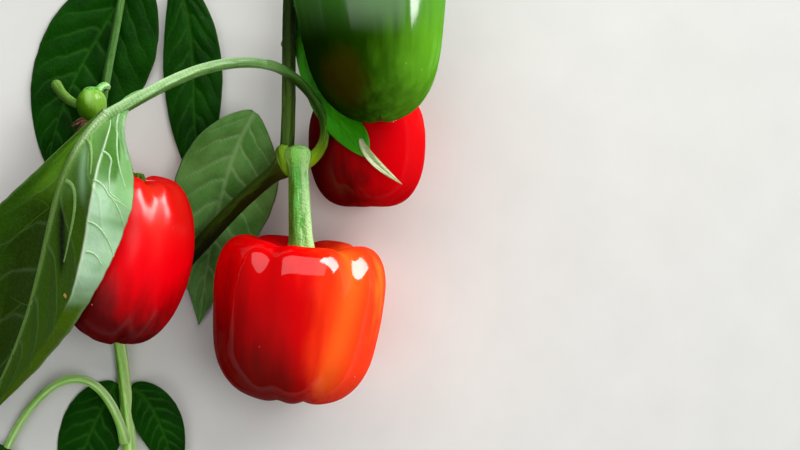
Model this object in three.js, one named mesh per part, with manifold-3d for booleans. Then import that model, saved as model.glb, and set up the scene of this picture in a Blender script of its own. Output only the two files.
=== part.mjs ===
// A cut fruiting branch of a sweet pepper plant, lying on a flat surface.
// Millimetres. +Z points up from the surface, and +Y runs from the cut foot to the growing tips.
// Places are measured from a point on the surface beside the blossom end of the rear pepper.
import * as THREE from 'three';
import Module from 'manifold-3d';

const wasm = await Module();
wasm.setup();

// Clear space kept between each piece and the next
const touchGap = 0.3;

// Brings the middle of the branch, at the height of the surface, to the origin
const originShift = [103, -16.5, -0.2];

// Where the shoots fork and where the foot is cut
const footCut = [-130, -129, 3.4];
const firstFork = [-136, -47, 5];
const secondFork = [-53, 27, 42];
const thirdFork = [-45, 149, 46];
const leftShootTop = [-129, 146, 9];
const leafBend = [-61, 73, 54];
const leftLeafBase = [-130, 49, 72];
const lowLeafBase = [-189, -107, 4];

// Colours
const stemGreen = 0x5f7f2a;
const oldStem = 0x3d4420;
const stalkGreen = 0x8fb84a;
const leafGreen = 0x2f5f22;
const paleLeaf = 0x86ad74;
const ripeRed = 0xc8140c;
const unripeGreen = 0x3f7d16;

// Each limb is a cubic curve of four points, with its radius at both ends,
// and a swelling added at the start and at the end
const limbs = {
  main_stem: {
    path: [footCut, [-130, -102, 3.4], [-132.5, -75, 3.2], firstFork],
    radius: [3.2, 2.9], swell: [0, 1.6], colour: stemGreen,
  },
  left_shoot: {
    path: [firstFork, [-166, 8, 3.5], [-132, 85, 7], leftShootTop],
    radius: [2.6, 1.8], swell: [0.8, 0.6], colour: stemGreen,
  },
  right_shoot_lower: {
    path: [firstFork, [-102, -22, 0], [-84, 7, 31], secondFork],
    radius: [3.9, 3.7], swell: [0, 1.8], colour: oldStem,
  },
  right_shoot_upper: {
    path: [secondFork, [-49, 68, 42], [-55, 109, 44], thirdFork],
    radius: [3.2, 2.7], swell: [2, 1.4], colour: oldStem,
  },
  front_pepper_stalk: {
    path: [[-48, 33.5, 49], [-46.5, 22, 50], [-46, 4, 47], [-45.5, -12, 43.5]],
    radius: [4.6, 4.6], swell: [2.3, 4.5], colour: stalkGreen,
  },
  left_pepper_stalk: {
    path: [[-145, 40, 5.3], [-155, 44, 20], [-147, 44, 38], [-127, 23, 40]],
    radius: [3, 3.4], swell: [1, 3], colour: stalkGreen,
  },
  green_pepper_stalk: {
    path: [thirdFork, [-27, 152, 46], [-15.5, 138, 49], [-14, 121, 54.5]],
    radius: [3.4, 4.2], swell: [1, 4], colour: stalkGreen,
  },
  rear_pepper_stalk: {
    path: [[-52, 84, 41], [-43, 82, 24], [-16, 80, 26], [-15.5, 57, 27.6]],
    radius: [2.4, 3], swell: [1, 3.5], colour: stalkGreen,
  },
  left_leaf_stalk_inner: {
    path: [[-47, 27, 46], [-19, 37, 56], [-43, 71, 51], leafBend],
    radius: [1.8, 2.3], swell: [1.4, 0], colour: stalkGreen,
  },
  left_leaf_stalk_outer: {
    path: [leafBend, [-86, 77, 61], [-108, 61, 72], leftLeafBase],
    radius: [2.3, 3.1], swell: [0, 0], colour: stalkGreen,
  },
  low_leaf_stalk: {
    path: [[-132, -104, 5.5], [-141, -55, 26], [-172, -71, 6], lowLeafBase],
    radius: [2.2, 1.8], swell: [0.8, 0], colour: stalkGreen,
  },
};

// Each pepper has its width, length and middle. It leans to the right in plan,
// and its stalk end nods up. Grooves are degrees round it from the upward side, to the right.
// Side roundness is for the stalk half and the blossom half.
const peppers = {
  front_pepper: {
    width: 87, length: 82, middle: [-47.2, -42.5, 38.8], lean: 5, nod: 7,
    grooves: [-20, 32, 105, 178, -105], taper: 0.18, endRoundness: 0.8, sideRoundness: [0.44, 0.8],
    grooveDepth: 0.03, endGrooveDepth: 0.09, dimple: [12, 5], colour: ripeRed,
  },
  left_pepper: {
    width: 64, length: 89, middle: [-125.7, -12.8, 37.5], lean: 7, nod: 6,
    grooves: [28, 100, 180, -60], taper: 0.14, endRoundness: 0.8, sideRoundness: [0.56, 0.62],
    grooveDepth: 0.03, endGrooveDepth: 0.1, dimple: [11, 4], colour: ripeRed,
  },
  green_pepper: {
    width: 81, length: 91, middle: [-13, 88, 65], lean: -2, nod: -18,
    grooves: [20, 95, 180, -60], taper: 0.36, endRoundness: 0.95, sideRoundness: [0.55, 1.28],
    grooveDepth: 0.03, endGrooveDepth: 0.08, dimple: [10, 2], colour: unripeGreen,
  },
  rear_pepper: {
    width: 57.5, length: 59, middle: [-15.5, 35.5, 27.6], lean: 0, nod: 0,
    grooves: [-30, 60, 150, -120], taper: 0.1, endRoundness: 0.85, sideRoundness: [0.55, 0.7],
    grooveDepth: 0.03, endGrooveDepth: 0.08, dimple: [8, 3], colour: ripeRed,
  },
};

// Each leaf has a midrib curve, its half widths to the left and right, where it is widest,
// and the angles at which the inner and outer strips of each half rise from flat
const leaves = {
  left_leaf: {
    rib: [leftLeafBase, [-166, -9, 80], [-158, -51, 60], [-214, -94, 3]],
    half: [38, 36], widest: [0.44, 0.27], sharpness: [1.7, 1.35], crease: 0.42, slices: 4,
    left: [-34, 12], right: [38, -20], wave: 1.2, colour: leafGreen,
  },
  narrow_leaf: {
    rib: [[-47, 101, 46], [-46, 81, 22.4], [-26, 47, 71.6], [-2, 23, 55.4]],
    half: [5, 7], widest: [0.58, 0.7], sharpness: [1, 2], crease: 0.5,
    left: [8, -10], right: [-5, -20], wave: 0.4, colour: leafGreen,
  },
  dark_leaf_upper: {
    rib: [[-125, 125, 7], [-142, 94, 1], [-164, 70, 1.4], [-170, 28, 1.2]],
    half: [22, 30], widest: [0.45, 0.45], sharpness: [0.9, 0.9], crease: 0.5,
    left: [4, -3], right: [4, -3], wave: 0.6, colour: leafGreen,
    stalk: [[-131, 132, 8], [-124, 138, 9], [-121, 132, 8], [-126, 122, 7.5]],
  },
  dark_leaf_middle: {
    rib: [[-108, 120, 8], [-94, 89, 4], [-104, 51, 4], [-94, 12, 3]],
    half: [13, 13], widest: [0.45, 0.45], sharpness: [0.9, 0.9], crease: 0.5,
    left: [6, -4], right: [6, -4], wave: 0.6, colour: leafGreen,
    stalk: [[-129, 138, 8.5], [-119, 145, 12], [-111, 134, 10], [-108, 117, 7.5]],
  },
  pale_leaf: {
    rib: [[-68, 53, 27], [-80, 36, 20], [-89, 10, 6], [-97, -48, 3]],
    half: [22, 24], widest: [0.4, 0.36], sharpness: [1.1, 1.1], crease: 0.5,
    left: [4, -2], right: [4, -2], wave: 0.8, colour: paleLeaf,
    stalk: [[-64, 19, 34], [-56, 32, 30], [-55, 58, 32], [-69, 51, 27]],
  },
  low_leaf: {
    rib: [lowLeafBase, [-198, -122, 10], [-214, -142, 6], [-222, -166, 3]],
    half: [22, 22], widest: [0.4, 0.4], sharpness: [0.9, 0.9], crease: 0.5,
    left: [-4, -6], right: [-4, -6], wave: 0.8, colour: leafGreen,
  },
  foot_leaf_left: {
    rib: [[-137, -76, 2.5], [-142, -86, 2], [-154, -104, 1.8], [-159, -135, 1.5]],
    half: [14, 14], widest: [0.4, 0.4], sharpness: [0.9, 0.9], crease: 0.5,
    left: [4, -4], right: [4, -4], wave: 0.5, colour: leafGreen,
  },
  foot_leaf_right: {
    rib: [[-129.5, -79, 4], [-120, -81, 8], [-113, -98, 6], [-107, -123, 3]],
    half: [10, 10], widest: [0.42, 0.42], sharpness: [0.9, 0.9], crease: 0.5,
    left: [4, -6], right: [4, -6], wave: 0.4, colour: leafGreen,
  },
  top_leaf: {
    rib: [[-41, 151, 50], [-25, 162, 62], [-4, 184, 64], [22, 180, 50]],
    half: [17, 17], widest: [0.42, 0.42], sharpness: [0.9, 0.9], crease: 0.5,
    left: [14, -8], right: [14, -8], wave: 0.8, colour: leafGreen,
  },
};

// Growing tips: a short shoot with young leaves set round it
const tips = {
  left_tip: {
    path: [leftShootTop, [-128, 158, 9], [-127, 172, 11], [-126, 182, 14]],
    radius: [1.8, 0.9], leafCount: 5, leafLength: 42, firstTurn: 20,
  },
  right_tip: {
    path: [thirdFork, [-45, 162, 48], [-41, 176, 50], [-37, 188, 54]],
    radius: [2.4, 1], leafCount: 5, leafLength: 46, firstTurn: 165,
  },
};

// The young fruit beside the left shoot: its body, its stalk and the stub of a shed flower
const youngFruit = {
  middle: [-147, 57, 13], radius: 7.6, stretch: 1.15,
  stalk: { path: [[-140.5, 66, 6], [-141, 68, 10], [-144, 66, 12], [-147, 60, 13]], radius: [1.6, 2.2] },
  stub: { path: [[-152, 57, 13], [-157, 58, 13], [-161, 62, 13], [-164, 67, 12]], radius: [1.8, 2] },
};

const radians = Math.PI / 180;
const upward = new THREE.Vector3(0, 0, 1);
const toVector = (place) => new THREE.Vector3(...place);
const toCurve = (path) => new THREE.CubicBezierCurve3(...path.map(toVector));

// A closed solid from rings of points, with each end drawn in to one point
function solidFromRings(rings, startPoint, endPoint) {
  const count = rings[0].length;
  const points = [...rings.flat(), startPoint, endPoint];
  const startIndex = points.length - 2;
  const endIndex = points.length - 1;
  const lastRing = (rings.length - 1) * count;
  const faces = [];
  for (let j = 0; j < count; j += 1) {
    const next = (j + 1) % count;
    for (let first = 0; first < lastRing; first += count) {
      const second = first + count;
      faces.push([first + j, first + next, second + next], [first + j, second + next, second + j]);
    }
    faces.push([startIndex, next, j], [endIndex, lastRing + j, lastRing + next]);
  }
  let volume = 0;
  for (const [a, b, c] of faces) {
    volume += points[a].dot(new THREE.Vector3().crossVectors(points[b], points[c]));
  }
  if (volume < 0) {
    faces.forEach((face) => face.reverse());
  }
  return new wasm.Manifold(new wasm.Mesh({
    numProp: 3,
    vertProperties: new Float32Array(points.flatMap((point) => point.toArray())),
    triVerts: new Uint32Array(faces.flat()),
  }));
}

// A round tapering limb along its curve. The swellings die away over a few millimetres.
function limbSolid(limb, grow = 0) {
  const sides = 9;
  const fewestSteps = 6;
  const mostSteps = 16;
  const stepLength = 6;
  const swellReach = 5;
  const swell = limb.swell ?? [0, 0];
  const curve = toCurve(limb.path);
  const reach = curve.getLength();
  const steps = Math.max(fewestSteps, Math.min(mostSteps, Math.round(reach / stepLength)));
  const frames = curve.computeFrenetFrames(steps);
  const rings = [];
  for (let i = 0; i <= steps; i += 1) {
    const share = i / steps;
    const atEnd = (i === steps) - (i === 0);
    const centre = curve.getPointAt(share).addScaledVector(frames.tangents[i], atEnd * grow);
    const radius = limb.radius[0] + (limb.radius[1] - limb.radius[0]) * share
      + swell[0] * Math.exp(-((share * reach / swellReach) ** 2))
      + swell[1] * Math.exp(-(((1 - share) * reach / swellReach) ** 2)) + grow;
    const ring = [];
    for (let j = 0; j < sides; j += 1) {
      const turn = 2 * Math.PI * j / sides;
      ring.push(centre.clone()
        .addScaledVector(frames.normals[i], Math.cos(turn) * radius)
        .addScaledVector(frames.binormals[i], Math.sin(turn) * radius));
    }
    rings.push(ring);
  }
  const start = curve.getPointAt(0).addScaledVector(frames.tangents[0], -grow);
  const end = curve.getPointAt(1).addScaledVector(frames.tangents[steps], grow);
  return solidFromRings(rings, start, end);
}

// The shortest turn from one angle to another, in degrees
const angleBetween = (a, b) => Math.abs(((a - b + 540) % 360) - 180);

// A blocky pepper body: rings round its axis, pinched at the grooves and dimpled at both ends
function pepperSolid(pepper, grow = 0) {
  const rows = 15;
  const around = 30;
  const grooveWidth = 15;
  const grooveShortening = 0.35;
  const dimpleSpread = 0.62;
  const lean = pepper.lean * radians;
  const nod = pepper.nod * radians;
  const axis = new THREE.Vector3(Math.sin(lean), Math.cos(lean), Math.tan(nod)).normalize();
  const front = upward.clone().addScaledVector(axis, -axis.z).normalize();
  const right = new THREE.Vector3().crossVectors(axis, front);
  const middle = toVector(pepper.middle);
  const place = (down, turn) => {
    const cosine = Math.cos(down);
    const along = Math.sign(cosine) * Math.abs(cosine) ** pepper.endRoundness / 2;
    let notch = 0;
    for (const groove of pepper.grooves) {
      notch += Math.exp(-((angleBetween(turn, groove) / grooveWidth) ** 2));
    }
    const depth = pepper.grooveDepth + pepper.endGrooveDepth * Math.abs(2 * along) ** 3;
    const share = Math.abs(Math.sin(down)) ** pepper.sideRoundness[cosine > 0 ? 0 : 1];
    const widest = pepper.width / 2 * (1 - pepper.taper * (0.5 - along)) + grow;
    const radius = widest * share * (1 - depth * notch);
    const sink = cosine > 0 ? -pepper.dimple[0] : pepper.dimple[1];
    const dimple = sink * Math.exp(-((share / dimpleSpread) ** 2));
    const height = (pepper.length + 2 * grow) * along * (1 - grooveShortening * depth * notch) + dimple;
    return middle.clone()
      .addScaledVector(axis, height)
      .addScaledVector(front, Math.cos(turn * radians) * radius)
      .addScaledVector(right, Math.sin(turn * radians) * radius);
  };
  const rings = [];
  for (let i = 1; i < rows; i += 1) {
    const down = Math.PI * i / rows;
    rings.push(Array.from({ length: around }, (_, j) => place(down, 360 * j / around)));
  }
  return solidFromRings(rings, place(0, 0), place(Math.PI, 0));
}

// A leaf blade: a thin folded section slides along the midrib and follows the leaf's outline
function bladeSolid(leaf, steps = 14) {
  const lengthPerThickness = 90;
  const tipNarrowing = 0.7;
  const waveReach = 5;
  const slices = leaf.slices ?? 2;
  const curve = toCurve(leaf.rib);
  const length = curve.getLength();
  const thickness = length / lengthPerThickness;
  const rootHalf = Math.min(2, length / 50);
  const spread = leaf.widest.map((place) => Math.log(0.5) / Math.log(place));
  const rings = [];
  for (let i = 0; i <= steps; i += 1) {
    const share = i / steps;
    const rib = curve.getPointAt(share);
    const tangent = curve.getTangentAt(share);
    const face = upward.clone().addScaledVector(tangent, -tangent.z).normalize();
    const side = new THREE.Vector3().crossVectors(face, tangent);
    const outlines = spread.map((power, k) => (
      Math.max(0, Math.sin(Math.PI * share ** power)) ** leaf.sharpness[k]
    ));
    const upper = [];
    const lower = [];
    for (let j = -slices; j <= slices; j += 1) {
      const angles = j < 0 ? leaf.left : leaf.right;
      const outline = outlines[j < 0 ? 0 : 1];
      const width = rootHalf * (1 - tipNarrowing * share) + outline * leaf.half[j < 0 ? 0 : 1];
      const out = Math.abs(j) / slices;
      const inner = Math.min(out, leaf.crease) * width;
      const outer = Math.max(0, out - leaf.crease) * width;
      const slopeIn = angles[0] * radians;
      const slopeOut = angles[1] * radians;
      const across = inner * Math.cos(slopeIn) + outer * Math.cos(slopeOut);
      const wave = leaf.wave * outline * out ** 3 * Math.sin(share * length / waveReach + j);
      const lift = inner * Math.sin(slopeIn) + outer * Math.sin(slopeOut) + wave;
      const point = rib.clone().addScaledVector(side, Math.sign(j) * across).addScaledVector(face, lift);
      upper.push(point.clone().addScaledVector(face, thickness / 2));
      lower.unshift(point.addScaledVector(face, -thickness / 2));
    }
    rings.push([...upper, ...lower]);
  }
  const start = curve.getPointAt(0);
  const end = curve.getPointAt(1).addScaledVector(curve.getTangentAt(1), thickness);
  return solidFromRings(rings, start, end);
}

// A leaf with its own short stalk fused on
function leafSolid(leaf) {
  const stalkRadius = [1.6, 1.2];
  const blade = bladeSolid(leaf);
  return leaf.stalk ? blade.add(limbSolid({ path: leaf.stalk, radius: stalkRadius })) : blade;
}

// A growing tip: young leaves turn round the shoot by the golden angle and get shorter to its end
function tipSolid(tip) {
  const goldenAngle = 137.5;
  const leafPlaces = [0.3, 0.95];
  const shortening = 0.55;
  const forward = 0.75;
  const flattening = 0.45;
  const lift = 0.25;
  const arch = 2;
  const droop = 4;
  const lowestTip = 3;
  const bladeSteps = 8;
  const curve = toCurve(tip.path);
  let solid = limbSolid(tip);
  for (let i = 0; i < tip.leafCount; i += 1) {
    const order = i / (tip.leafCount - 1);
    const turn = (tip.firstTurn + goldenAngle * i) * radians;
    const length = tip.leafLength * (1 - shortening * order);
    const half = length / 5;
    const root = curve.getPointAt(leafPlaces[0] + (leafPlaces[1] - leafPlaces[0]) * order);
    const rise = flattening * Math.sin(turn) + lift;
    const outward = new THREE.Vector3(Math.cos(turn), forward, rise).normalize();
    const along = (share) => root.clone().addScaledVector(outward, length * share);
    const lateBend = along(0.7);
    const tipPoint = along(1);
    lateBend.z += arch;
    tipPoint.z = Math.max(tipPoint.z - droop, lowestTip);
    const rib = [root, along(0.35), lateBend, tipPoint].map((point) => point.toArray());
    const blade = bladeSolid({
      rib, half: [half, half], widest: [0.45, 0.45], sharpness: [0.9, 0.9], crease: 0.5,
      left: [16, -4], right: [16, -4], wave: 0.3,
    }, bladeSteps);
    solid = solid.add(blade);
  }
  return solid;
}

// The young fruit: a round body with its stalk and stub fused on
function youngFruitSolid(fruit) {
  const around = 12;
  const rows = 7;
  const place = (down, turn) => new THREE.Vector3(
    Math.cos(turn) * Math.sin(down),
    Math.cos(down) * fruit.stretch,
    Math.sin(turn) * Math.sin(down),
  ).multiplyScalar(fruit.radius).add(toVector(fruit.middle));
  const rings = [];
  for (let i = 1; i < rows; i += 1) {
    const down = Math.PI * i / rows;
    rings.push(Array.from({ length: around }, (_, j) => place(down, 2 * Math.PI * j / around)));
  }
  const body = solidFromRings(rings, place(0, 0), place(Math.PI, 0));
  return body.add(limbSolid(fruit.stalk)).add(limbSolid(fruit.stub));
}

// The largest body left after a cut
function largestBody(solid) {
  const bodies = solid.decompose();
  return bodies.reduce((best, body) => (body.volume() > best.volume() ? body : best));
}

// Solids are cut back so that each lies the touch gap clear of what carries it
const grownLimb = (name) => limbSolid(limbs[name], touchGap);
const grownPepper = (name) => pepperSolid(peppers[name], touchGap);
function seated(solid, ...carriers) {
  return largestBody(carriers.reduce((rest, carrier) => rest.subtract(carrier), solid));
}

// What each limb is seated against, besides the pepper that it carries
const limbSeats = {
  left_shoot: ['main_stem'],
  right_shoot_lower: ['main_stem', 'left_shoot'],
  right_shoot_upper: ['right_shoot_lower'],
  front_pepper_stalk: ['right_shoot_lower', 'right_shoot_upper'],
  left_pepper_stalk: ['left_shoot'],
  green_pepper_stalk: ['right_shoot_upper'],
  rear_pepper_stalk: ['right_shoot_upper'],
  left_leaf_stalk_inner: ['right_shoot_lower', 'right_shoot_upper', 'front_pepper_stalk'],
  left_leaf_stalk_outer: ['left_leaf_stalk_inner'],
  low_leaf_stalk: ['main_stem'],
};
const leafSeats = {
  left_leaf: ['left_leaf_stalk_outer'],
  narrow_leaf: ['right_shoot_upper'],
  dark_leaf_upper: ['left_shoot'],
  dark_leaf_middle: ['left_shoot'],
  pale_leaf: ['right_shoot_lower', 'right_shoot_upper'],
  low_leaf: ['low_leaf_stalk'],
  foot_leaf_left: ['main_stem'],
  foot_leaf_right: ['main_stem'],
  top_leaf: ['right_shoot_upper', 'green_pepper_stalk'],
};
const tipSeats = {
  left_tip: ['left_shoot'],
  right_tip: ['right_shoot_upper', 'green_pepper_stalk'],
};

const group = new THREE.Group();

// How rough the surfaces are
const glossy = 0.2;
const satin = 0.5;

// Turns a solid into a named mesh
function addPiece(name, solid, colour, roughness) {
  const mesh = solid.getMesh();
  const geometry = new THREE.BufferGeometry();
  geometry.setAttribute('position', new THREE.BufferAttribute(new Float32Array(mesh.vertProperties), 3));
  geometry.setIndex(new THREE.BufferAttribute(new Uint32Array(mesh.triVerts), 1));
  geometry.computeVertexNormals();
  const material = new THREE.MeshStandardMaterial({ color: colour, roughness, metalness: 0 });
  const piece = new THREE.Mesh(geometry, material);
  piece.name = name;
  piece.position.set(...originShift);
  group.add(piece);
}

for (const [name, pepper] of Object.entries(peppers)) {
  addPiece(name, pepperSolid(pepper), pepper.colour, glossy);
}
for (const [name, limb] of Object.entries(limbs)) {
  const carriers = (limbSeats[name] ?? []).map(grownLimb);
  const pepperName = name.replace('_stalk', '');
  if (peppers[pepperName]) {
    carriers.push(grownPepper(pepperName));
  }
  addPiece(name, seated(limbSolid(limb), ...carriers), limb.colour, satin);
}
for (const [name, leaf] of Object.entries(leaves)) {
  addPiece(name, seated(leafSolid(leaf), ...leafSeats[name].map(grownLimb)), leaf.colour, satin);
}
for (const [name, tip] of Object.entries(tips)) {
  addPiece(name, seated(tipSolid(tip), ...tipSeats[name].map(grownLimb)), leafGreen, satin);
}
addPiece('young_fruit', seated(youngFruitSolid(youngFruit), grownLimb('left_shoot')), unripeGreen, glossy);

export default group;
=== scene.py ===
import math

import bmesh
import bpy
from mathutils import Matrix, Vector


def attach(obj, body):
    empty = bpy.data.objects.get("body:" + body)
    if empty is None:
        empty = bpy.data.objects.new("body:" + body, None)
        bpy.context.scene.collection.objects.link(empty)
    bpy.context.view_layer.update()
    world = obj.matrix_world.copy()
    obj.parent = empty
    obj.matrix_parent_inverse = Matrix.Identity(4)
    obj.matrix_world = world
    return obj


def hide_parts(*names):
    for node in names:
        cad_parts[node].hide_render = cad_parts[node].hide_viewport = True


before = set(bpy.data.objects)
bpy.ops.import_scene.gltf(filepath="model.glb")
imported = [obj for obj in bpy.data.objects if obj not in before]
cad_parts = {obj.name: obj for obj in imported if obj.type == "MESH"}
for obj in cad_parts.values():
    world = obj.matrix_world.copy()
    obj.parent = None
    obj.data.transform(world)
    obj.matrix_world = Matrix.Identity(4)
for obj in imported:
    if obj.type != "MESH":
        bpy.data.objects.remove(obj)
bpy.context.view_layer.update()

# A cut fruiting branch of a sweet pepper plant, lying on a pale floor and seen from above.
# Metres. The branch runs along +Y from its cut foot to its growing tips.
print("frame loaded:", len(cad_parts), "nodes")


# A value that a node tree works out at each point. Python's own signs put the Math nodes in.
class Field:
    def __init__(self, tree, socket):
        self.tree = tree
        self.socket = socket
        self.isVector = socket.type == "VECTOR"

    def through(self, kind, operation, others, output):
        return fieldFrom(self.tree, kind, output, dict(enumerate((self, *others))), operation=operation)

    def math(self, operation, *others):
        return self.through("ShaderNodeMath", operation, others, "Value")

    def vector(self, operation, *others, output="Vector"):
        return self.through("ShaderNodeVectorMath", operation, others, output)

    def scaled(self, size):
        inputs = {0: self, "Scale": size}
        return fieldFrom(self.tree, "ShaderNodeVectorMath", "Vector", inputs, operation="SCALE")

    def parts(self):
        node = addNode(self.tree, "ShaderNodeSeparateXYZ", {0: self})
        return [Field(self.tree, node.outputs[i]) for i in range(3)]

    def __add__(self, other):
        return self.vector("ADD", other) if self.isVector else self.math("ADD", other)

    def __sub__(self, other):
        return self.vector("SUBTRACT", other) if self.isVector else self.math("SUBTRACT", other)

    def __mul__(self, other):
        otherIsVector = isinstance(other, Field) and other.isVector
        if self.isVector:
            return self.vector("MULTIPLY", other) if otherIsVector else self.scaled(other)
        return other.scaled(self) if otherIsVector else self.math("MULTIPLY", other)

    def __truediv__(self, other):
        return self.math("DIVIDE", other)

    def __pow__(self, other):
        return self.math("POWER", other)

    def __neg__(self):
        return self * -1.0

    def __rsub__(self, other):
        return self * -1.0 + other

    __radd__ = __add__
    __rmul__ = __mul__

    # 0 below the low value, 1 above the high one, and smooth between them
    def ease(self, low, high):
        inputs = {"Value": self, "From Min": low, "From Max": high}
        return fieldFrom(self.tree, "ShaderNodeMapRange", "Result", inputs, interpolation_type="SMOOTHSTEP")

    # 1 at zero, dying away over the reach on both sides
    def peak(self, reach):
        return ((self / reach) ** 2.0 * -1.0).math("EXPONENT")


def plug(tree, value, socket):
    if isinstance(value, Field):
        tree.links.new(value.socket, socket)
    elif isinstance(value, bpy.types.NodeSocket):
        tree.links.new(value, socket)
    else:
        socket.default_value = value


def addNode(tree, kind, inputs=None, **settings):
    node = tree.nodes.new(kind)
    for name, value in settings.items():
        setattr(node, name, value)
    for label, value in (inputs or {}).items():
        plug(tree, value, node.inputs[label])
    return node


# One output of a new node, ready for sums
def fieldFrom(tree, kind, output=0, inputs=None, **settings):
    return Field(tree, addNode(tree, kind, inputs, **settings).outputs[output])


def joined(tree, x, y, z):
    return fieldFrom(tree, "ShaderNodeCombineXYZ", 0, {0: x, 1: y, 2: z})


def noiseAt(tree, place, scale=1.0, detail=2.0):
    inputs = {"Vector": place, "Scale": scale, "Detail": detail, "Roughness": 0.5}
    return fieldFrom(tree, "ShaderNodeTexNoise", 0, inputs)


socketKinds = {float: "Float", int: "Int", tuple: "Vector"}


# A node tree with named inputs, each with its usual value, and one output
def startGroup(name, treeKind, usual, output, outputKind, plainInputs=()):
    tree = bpy.data.node_groups.new(name, treeKind)
    tree.interface.new_socket(output, in_out="OUTPUT", socket_type="NodeSocket" + outputKind)
    for label, value in usual.items():
        kind = "NodeSocket" + socketKinds[type(value)]
        tree.interface.new_socket(label, in_out="INPUT", socket_type=kind).default_value = value
    for label in plainInputs:
        tree.interface.new_socket(label, in_out="INPUT", socket_type="NodeSocket" + label)
    entry = tree.nodes.new("NodeGroupInput")
    return tree, {label: Field(tree, entry.outputs[label]) for label in [*usual, *plainInputs]}


def startTree(name, usual):
    return startGroup(name, "GeometryNodeTree", usual, "Geometry", "Geometry", ("Material", "Object"))


# A flat sheet of points, with its two shares from 0 to 1
def startSheet(tree, columns, rows):
    sizes = {"Size X": 1.0, "Size Y": 1.0, "Vertices X": columns, "Vertices Y": rows}
    sheet = addNode(tree, "GeometryNodeMeshGrid", sizes).outputs["Mesh"]
    x, y, _ = fieldFrom(tree, "GeometryNodeInputPosition").parts()
    return sheet, x + 0.5, y + 0.5


# Keeps values on the points, and then moves the points to their place
def shapeSheet(tree, sheet, place, kept):
    for name, value in kept.items():
        kind = "FLOAT_VECTOR" if isinstance(value, Field) and value.isVector else "FLOAT"
        inputs = {"Geometry": sheet, "Name": name}
        store = addNode(tree, "GeometryNodeStoreNamedAttribute", inputs, data_type=kind)
        plug(tree, value, store.inputs["Value"])
        sheet = store.outputs[0]
    return addNode(tree, "GeometryNodeSetPosition", {"Geometry": sheet, "Position": place}).outputs[0]


# The upper and the under sheet of a blade or a cap, as one closed shape
def closedSheets(tree, upper, under):
    flipped = addNode(tree, "GeometryNodeFlipFaces", {"Mesh": under}).outputs[0]
    both = addNode(tree, "GeometryNodeJoinGeometry")
    for shape in (upper, flipped):
        plug(tree, shape, both.inputs[0])
    return both.outputs[0]


def finishTree(tree, shape, material, mergeReach=2e-6):
    merged = addNode(tree, "GeometryNodeMergeByDistance", {"Geometry": shape, "Distance": mergeReach})
    smooth = addNode(tree, "GeometryNodeSetShadeSmooth", {0: merged.outputs[0]})
    real = addNode(tree, "GeometryNodeRealizeInstances", {"Geometry": smooth.outputs[0]})
    inputs = {"Geometry": real.outputs[0], "Material": material}
    painted = addNode(tree, "GeometryNodeSetMaterial", inputs)
    addNode(tree, "NodeGroupOutput", {0: painted.outputs[0]})
    return tree


usualPath = {"Start": (0.0, 0.0, 0.0), "Start Handle": (0.0, 0.01, 0.0), "End Handle": (0.0, 0.02, 0.0),
             "End": (0.0, 0.03, 0.0)}
sidedLabels = ("Half", "Widest", "Sharpness", "Crease", "Inner", "Outer", "Root")


# A piece's own dictionary as one value for each input: its path gives four points, its grooves one
# input each, and what a leaf's two sides have is given as a pair, or as one value for both
def inputValues(values):
    values = dict(values)
    found = dict(zip(usualPath, values.pop("path", ())))
    for number, groove in enumerate(values.pop("grooves", ()), 1):
        found[f"Groove {number}"] = groove
    for label, value in values.items():
        if label in sidedLabels:
            left, right = value if isinstance(value, tuple) else (value, value)
            found.update({label + " Left": left, label + " Right": right})
        else:
            found[label] = value
    return found


# Runs a tree with a piece's values, and keeps the result as a plain mesh with its faces outwards
def growPiece(name, tree, values, material, matrix=None):
    piece = bpy.data.objects.new(name, bpy.data.meshes.new(name))
    bpy.context.collection.objects.link(piece)
    modifier = piece.modifiers.new("grow", "NODES")
    modifier.node_group = tree
    given = {**inputValues(values), "Material": material}
    for pin in tree.interface.items_tree:
        if pin.in_out == "INPUT" and pin.name in given:
            modifier[pin.identifier] = given[pin.name]
    graph = bpy.context.evaluated_depsgraph_get()
    grown = piece.evaluated_get(graph)
    mesh = bpy.data.meshes.new_from_object(grown, preserve_all_data_layers=True, depsgraph=graph)
    piece.modifiers.clear()
    piece.data = mesh
    if matrix:
        mesh.transform(matrix)
    shell = bmesh.new()
    shell.from_mesh(mesh)
    if shell.calc_volume(signed=True) < 0:
        bmesh.ops.reverse_faces(shell, faces=shell.faces)
        shell.to_mesh(mesh)
    shell.free()
    mesh.update()
    return piece


def settle(piece, slotName, *nodes):
    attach(piece, "root")
    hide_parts(*nodes)


# A screen colour, 0 to 255, as the shader wants it
def tint(red, green, blue):
    def toLinear(value):
        share = value / 255
        return share / 12.92 if share <= 0.04045 else ((share + 0.055) / 1.055) ** 2.4
    return (toLinear(red), toLinear(green), toLinear(blue), 1.0)


def startMaterial(name, **sockets):
    material = bpy.data.materials.new(name)
    material.use_nodes = True
    tree = material.node_tree
    shader = tree.nodes["Principled BSDF"]
    for label, value in sockets.items():
        shader.inputs[label.replace("_", " ")].default_value = value
    return material, tree, shader


def attribute(tree, name, output="Fac"):
    return fieldFrom(tree, "ShaderNodeAttribute", output, attribute_name=name)


def objectPlace(tree):
    return fieldFrom(tree, "ShaderNodeTexCoord", "Object")


def mixTints(tree, share, first, second):
    node = addNode(tree, "ShaderNodeMix", {0: share, 6: first, 7: second}, data_type="RGBA")
    return node.outputs[2]


def bumped(tree, shader, height, distance, strength=1.0):
    inputs = {"Height": height, "Distance": distance, "Strength": strength}
    normal = addNode(tree, "ShaderNodeBump", inputs).outputs["Normal"]
    plug(tree, normal, shader.inputs["Normal"])


# Shared effects, as shader groups that put out one mask each
def startEffect(name, usual):
    return startGroup(name, "ShaderNodeTree", usual, "Mask", "Float")


def cellDistance(tree, place, spacing, **settings):
    inputs = {"Vector": place, "Scale": spacing ** -1.0}
    return fieldFrom(tree, "ShaderNodeTexVoronoi", "Distance", inputs, **settings)


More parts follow.
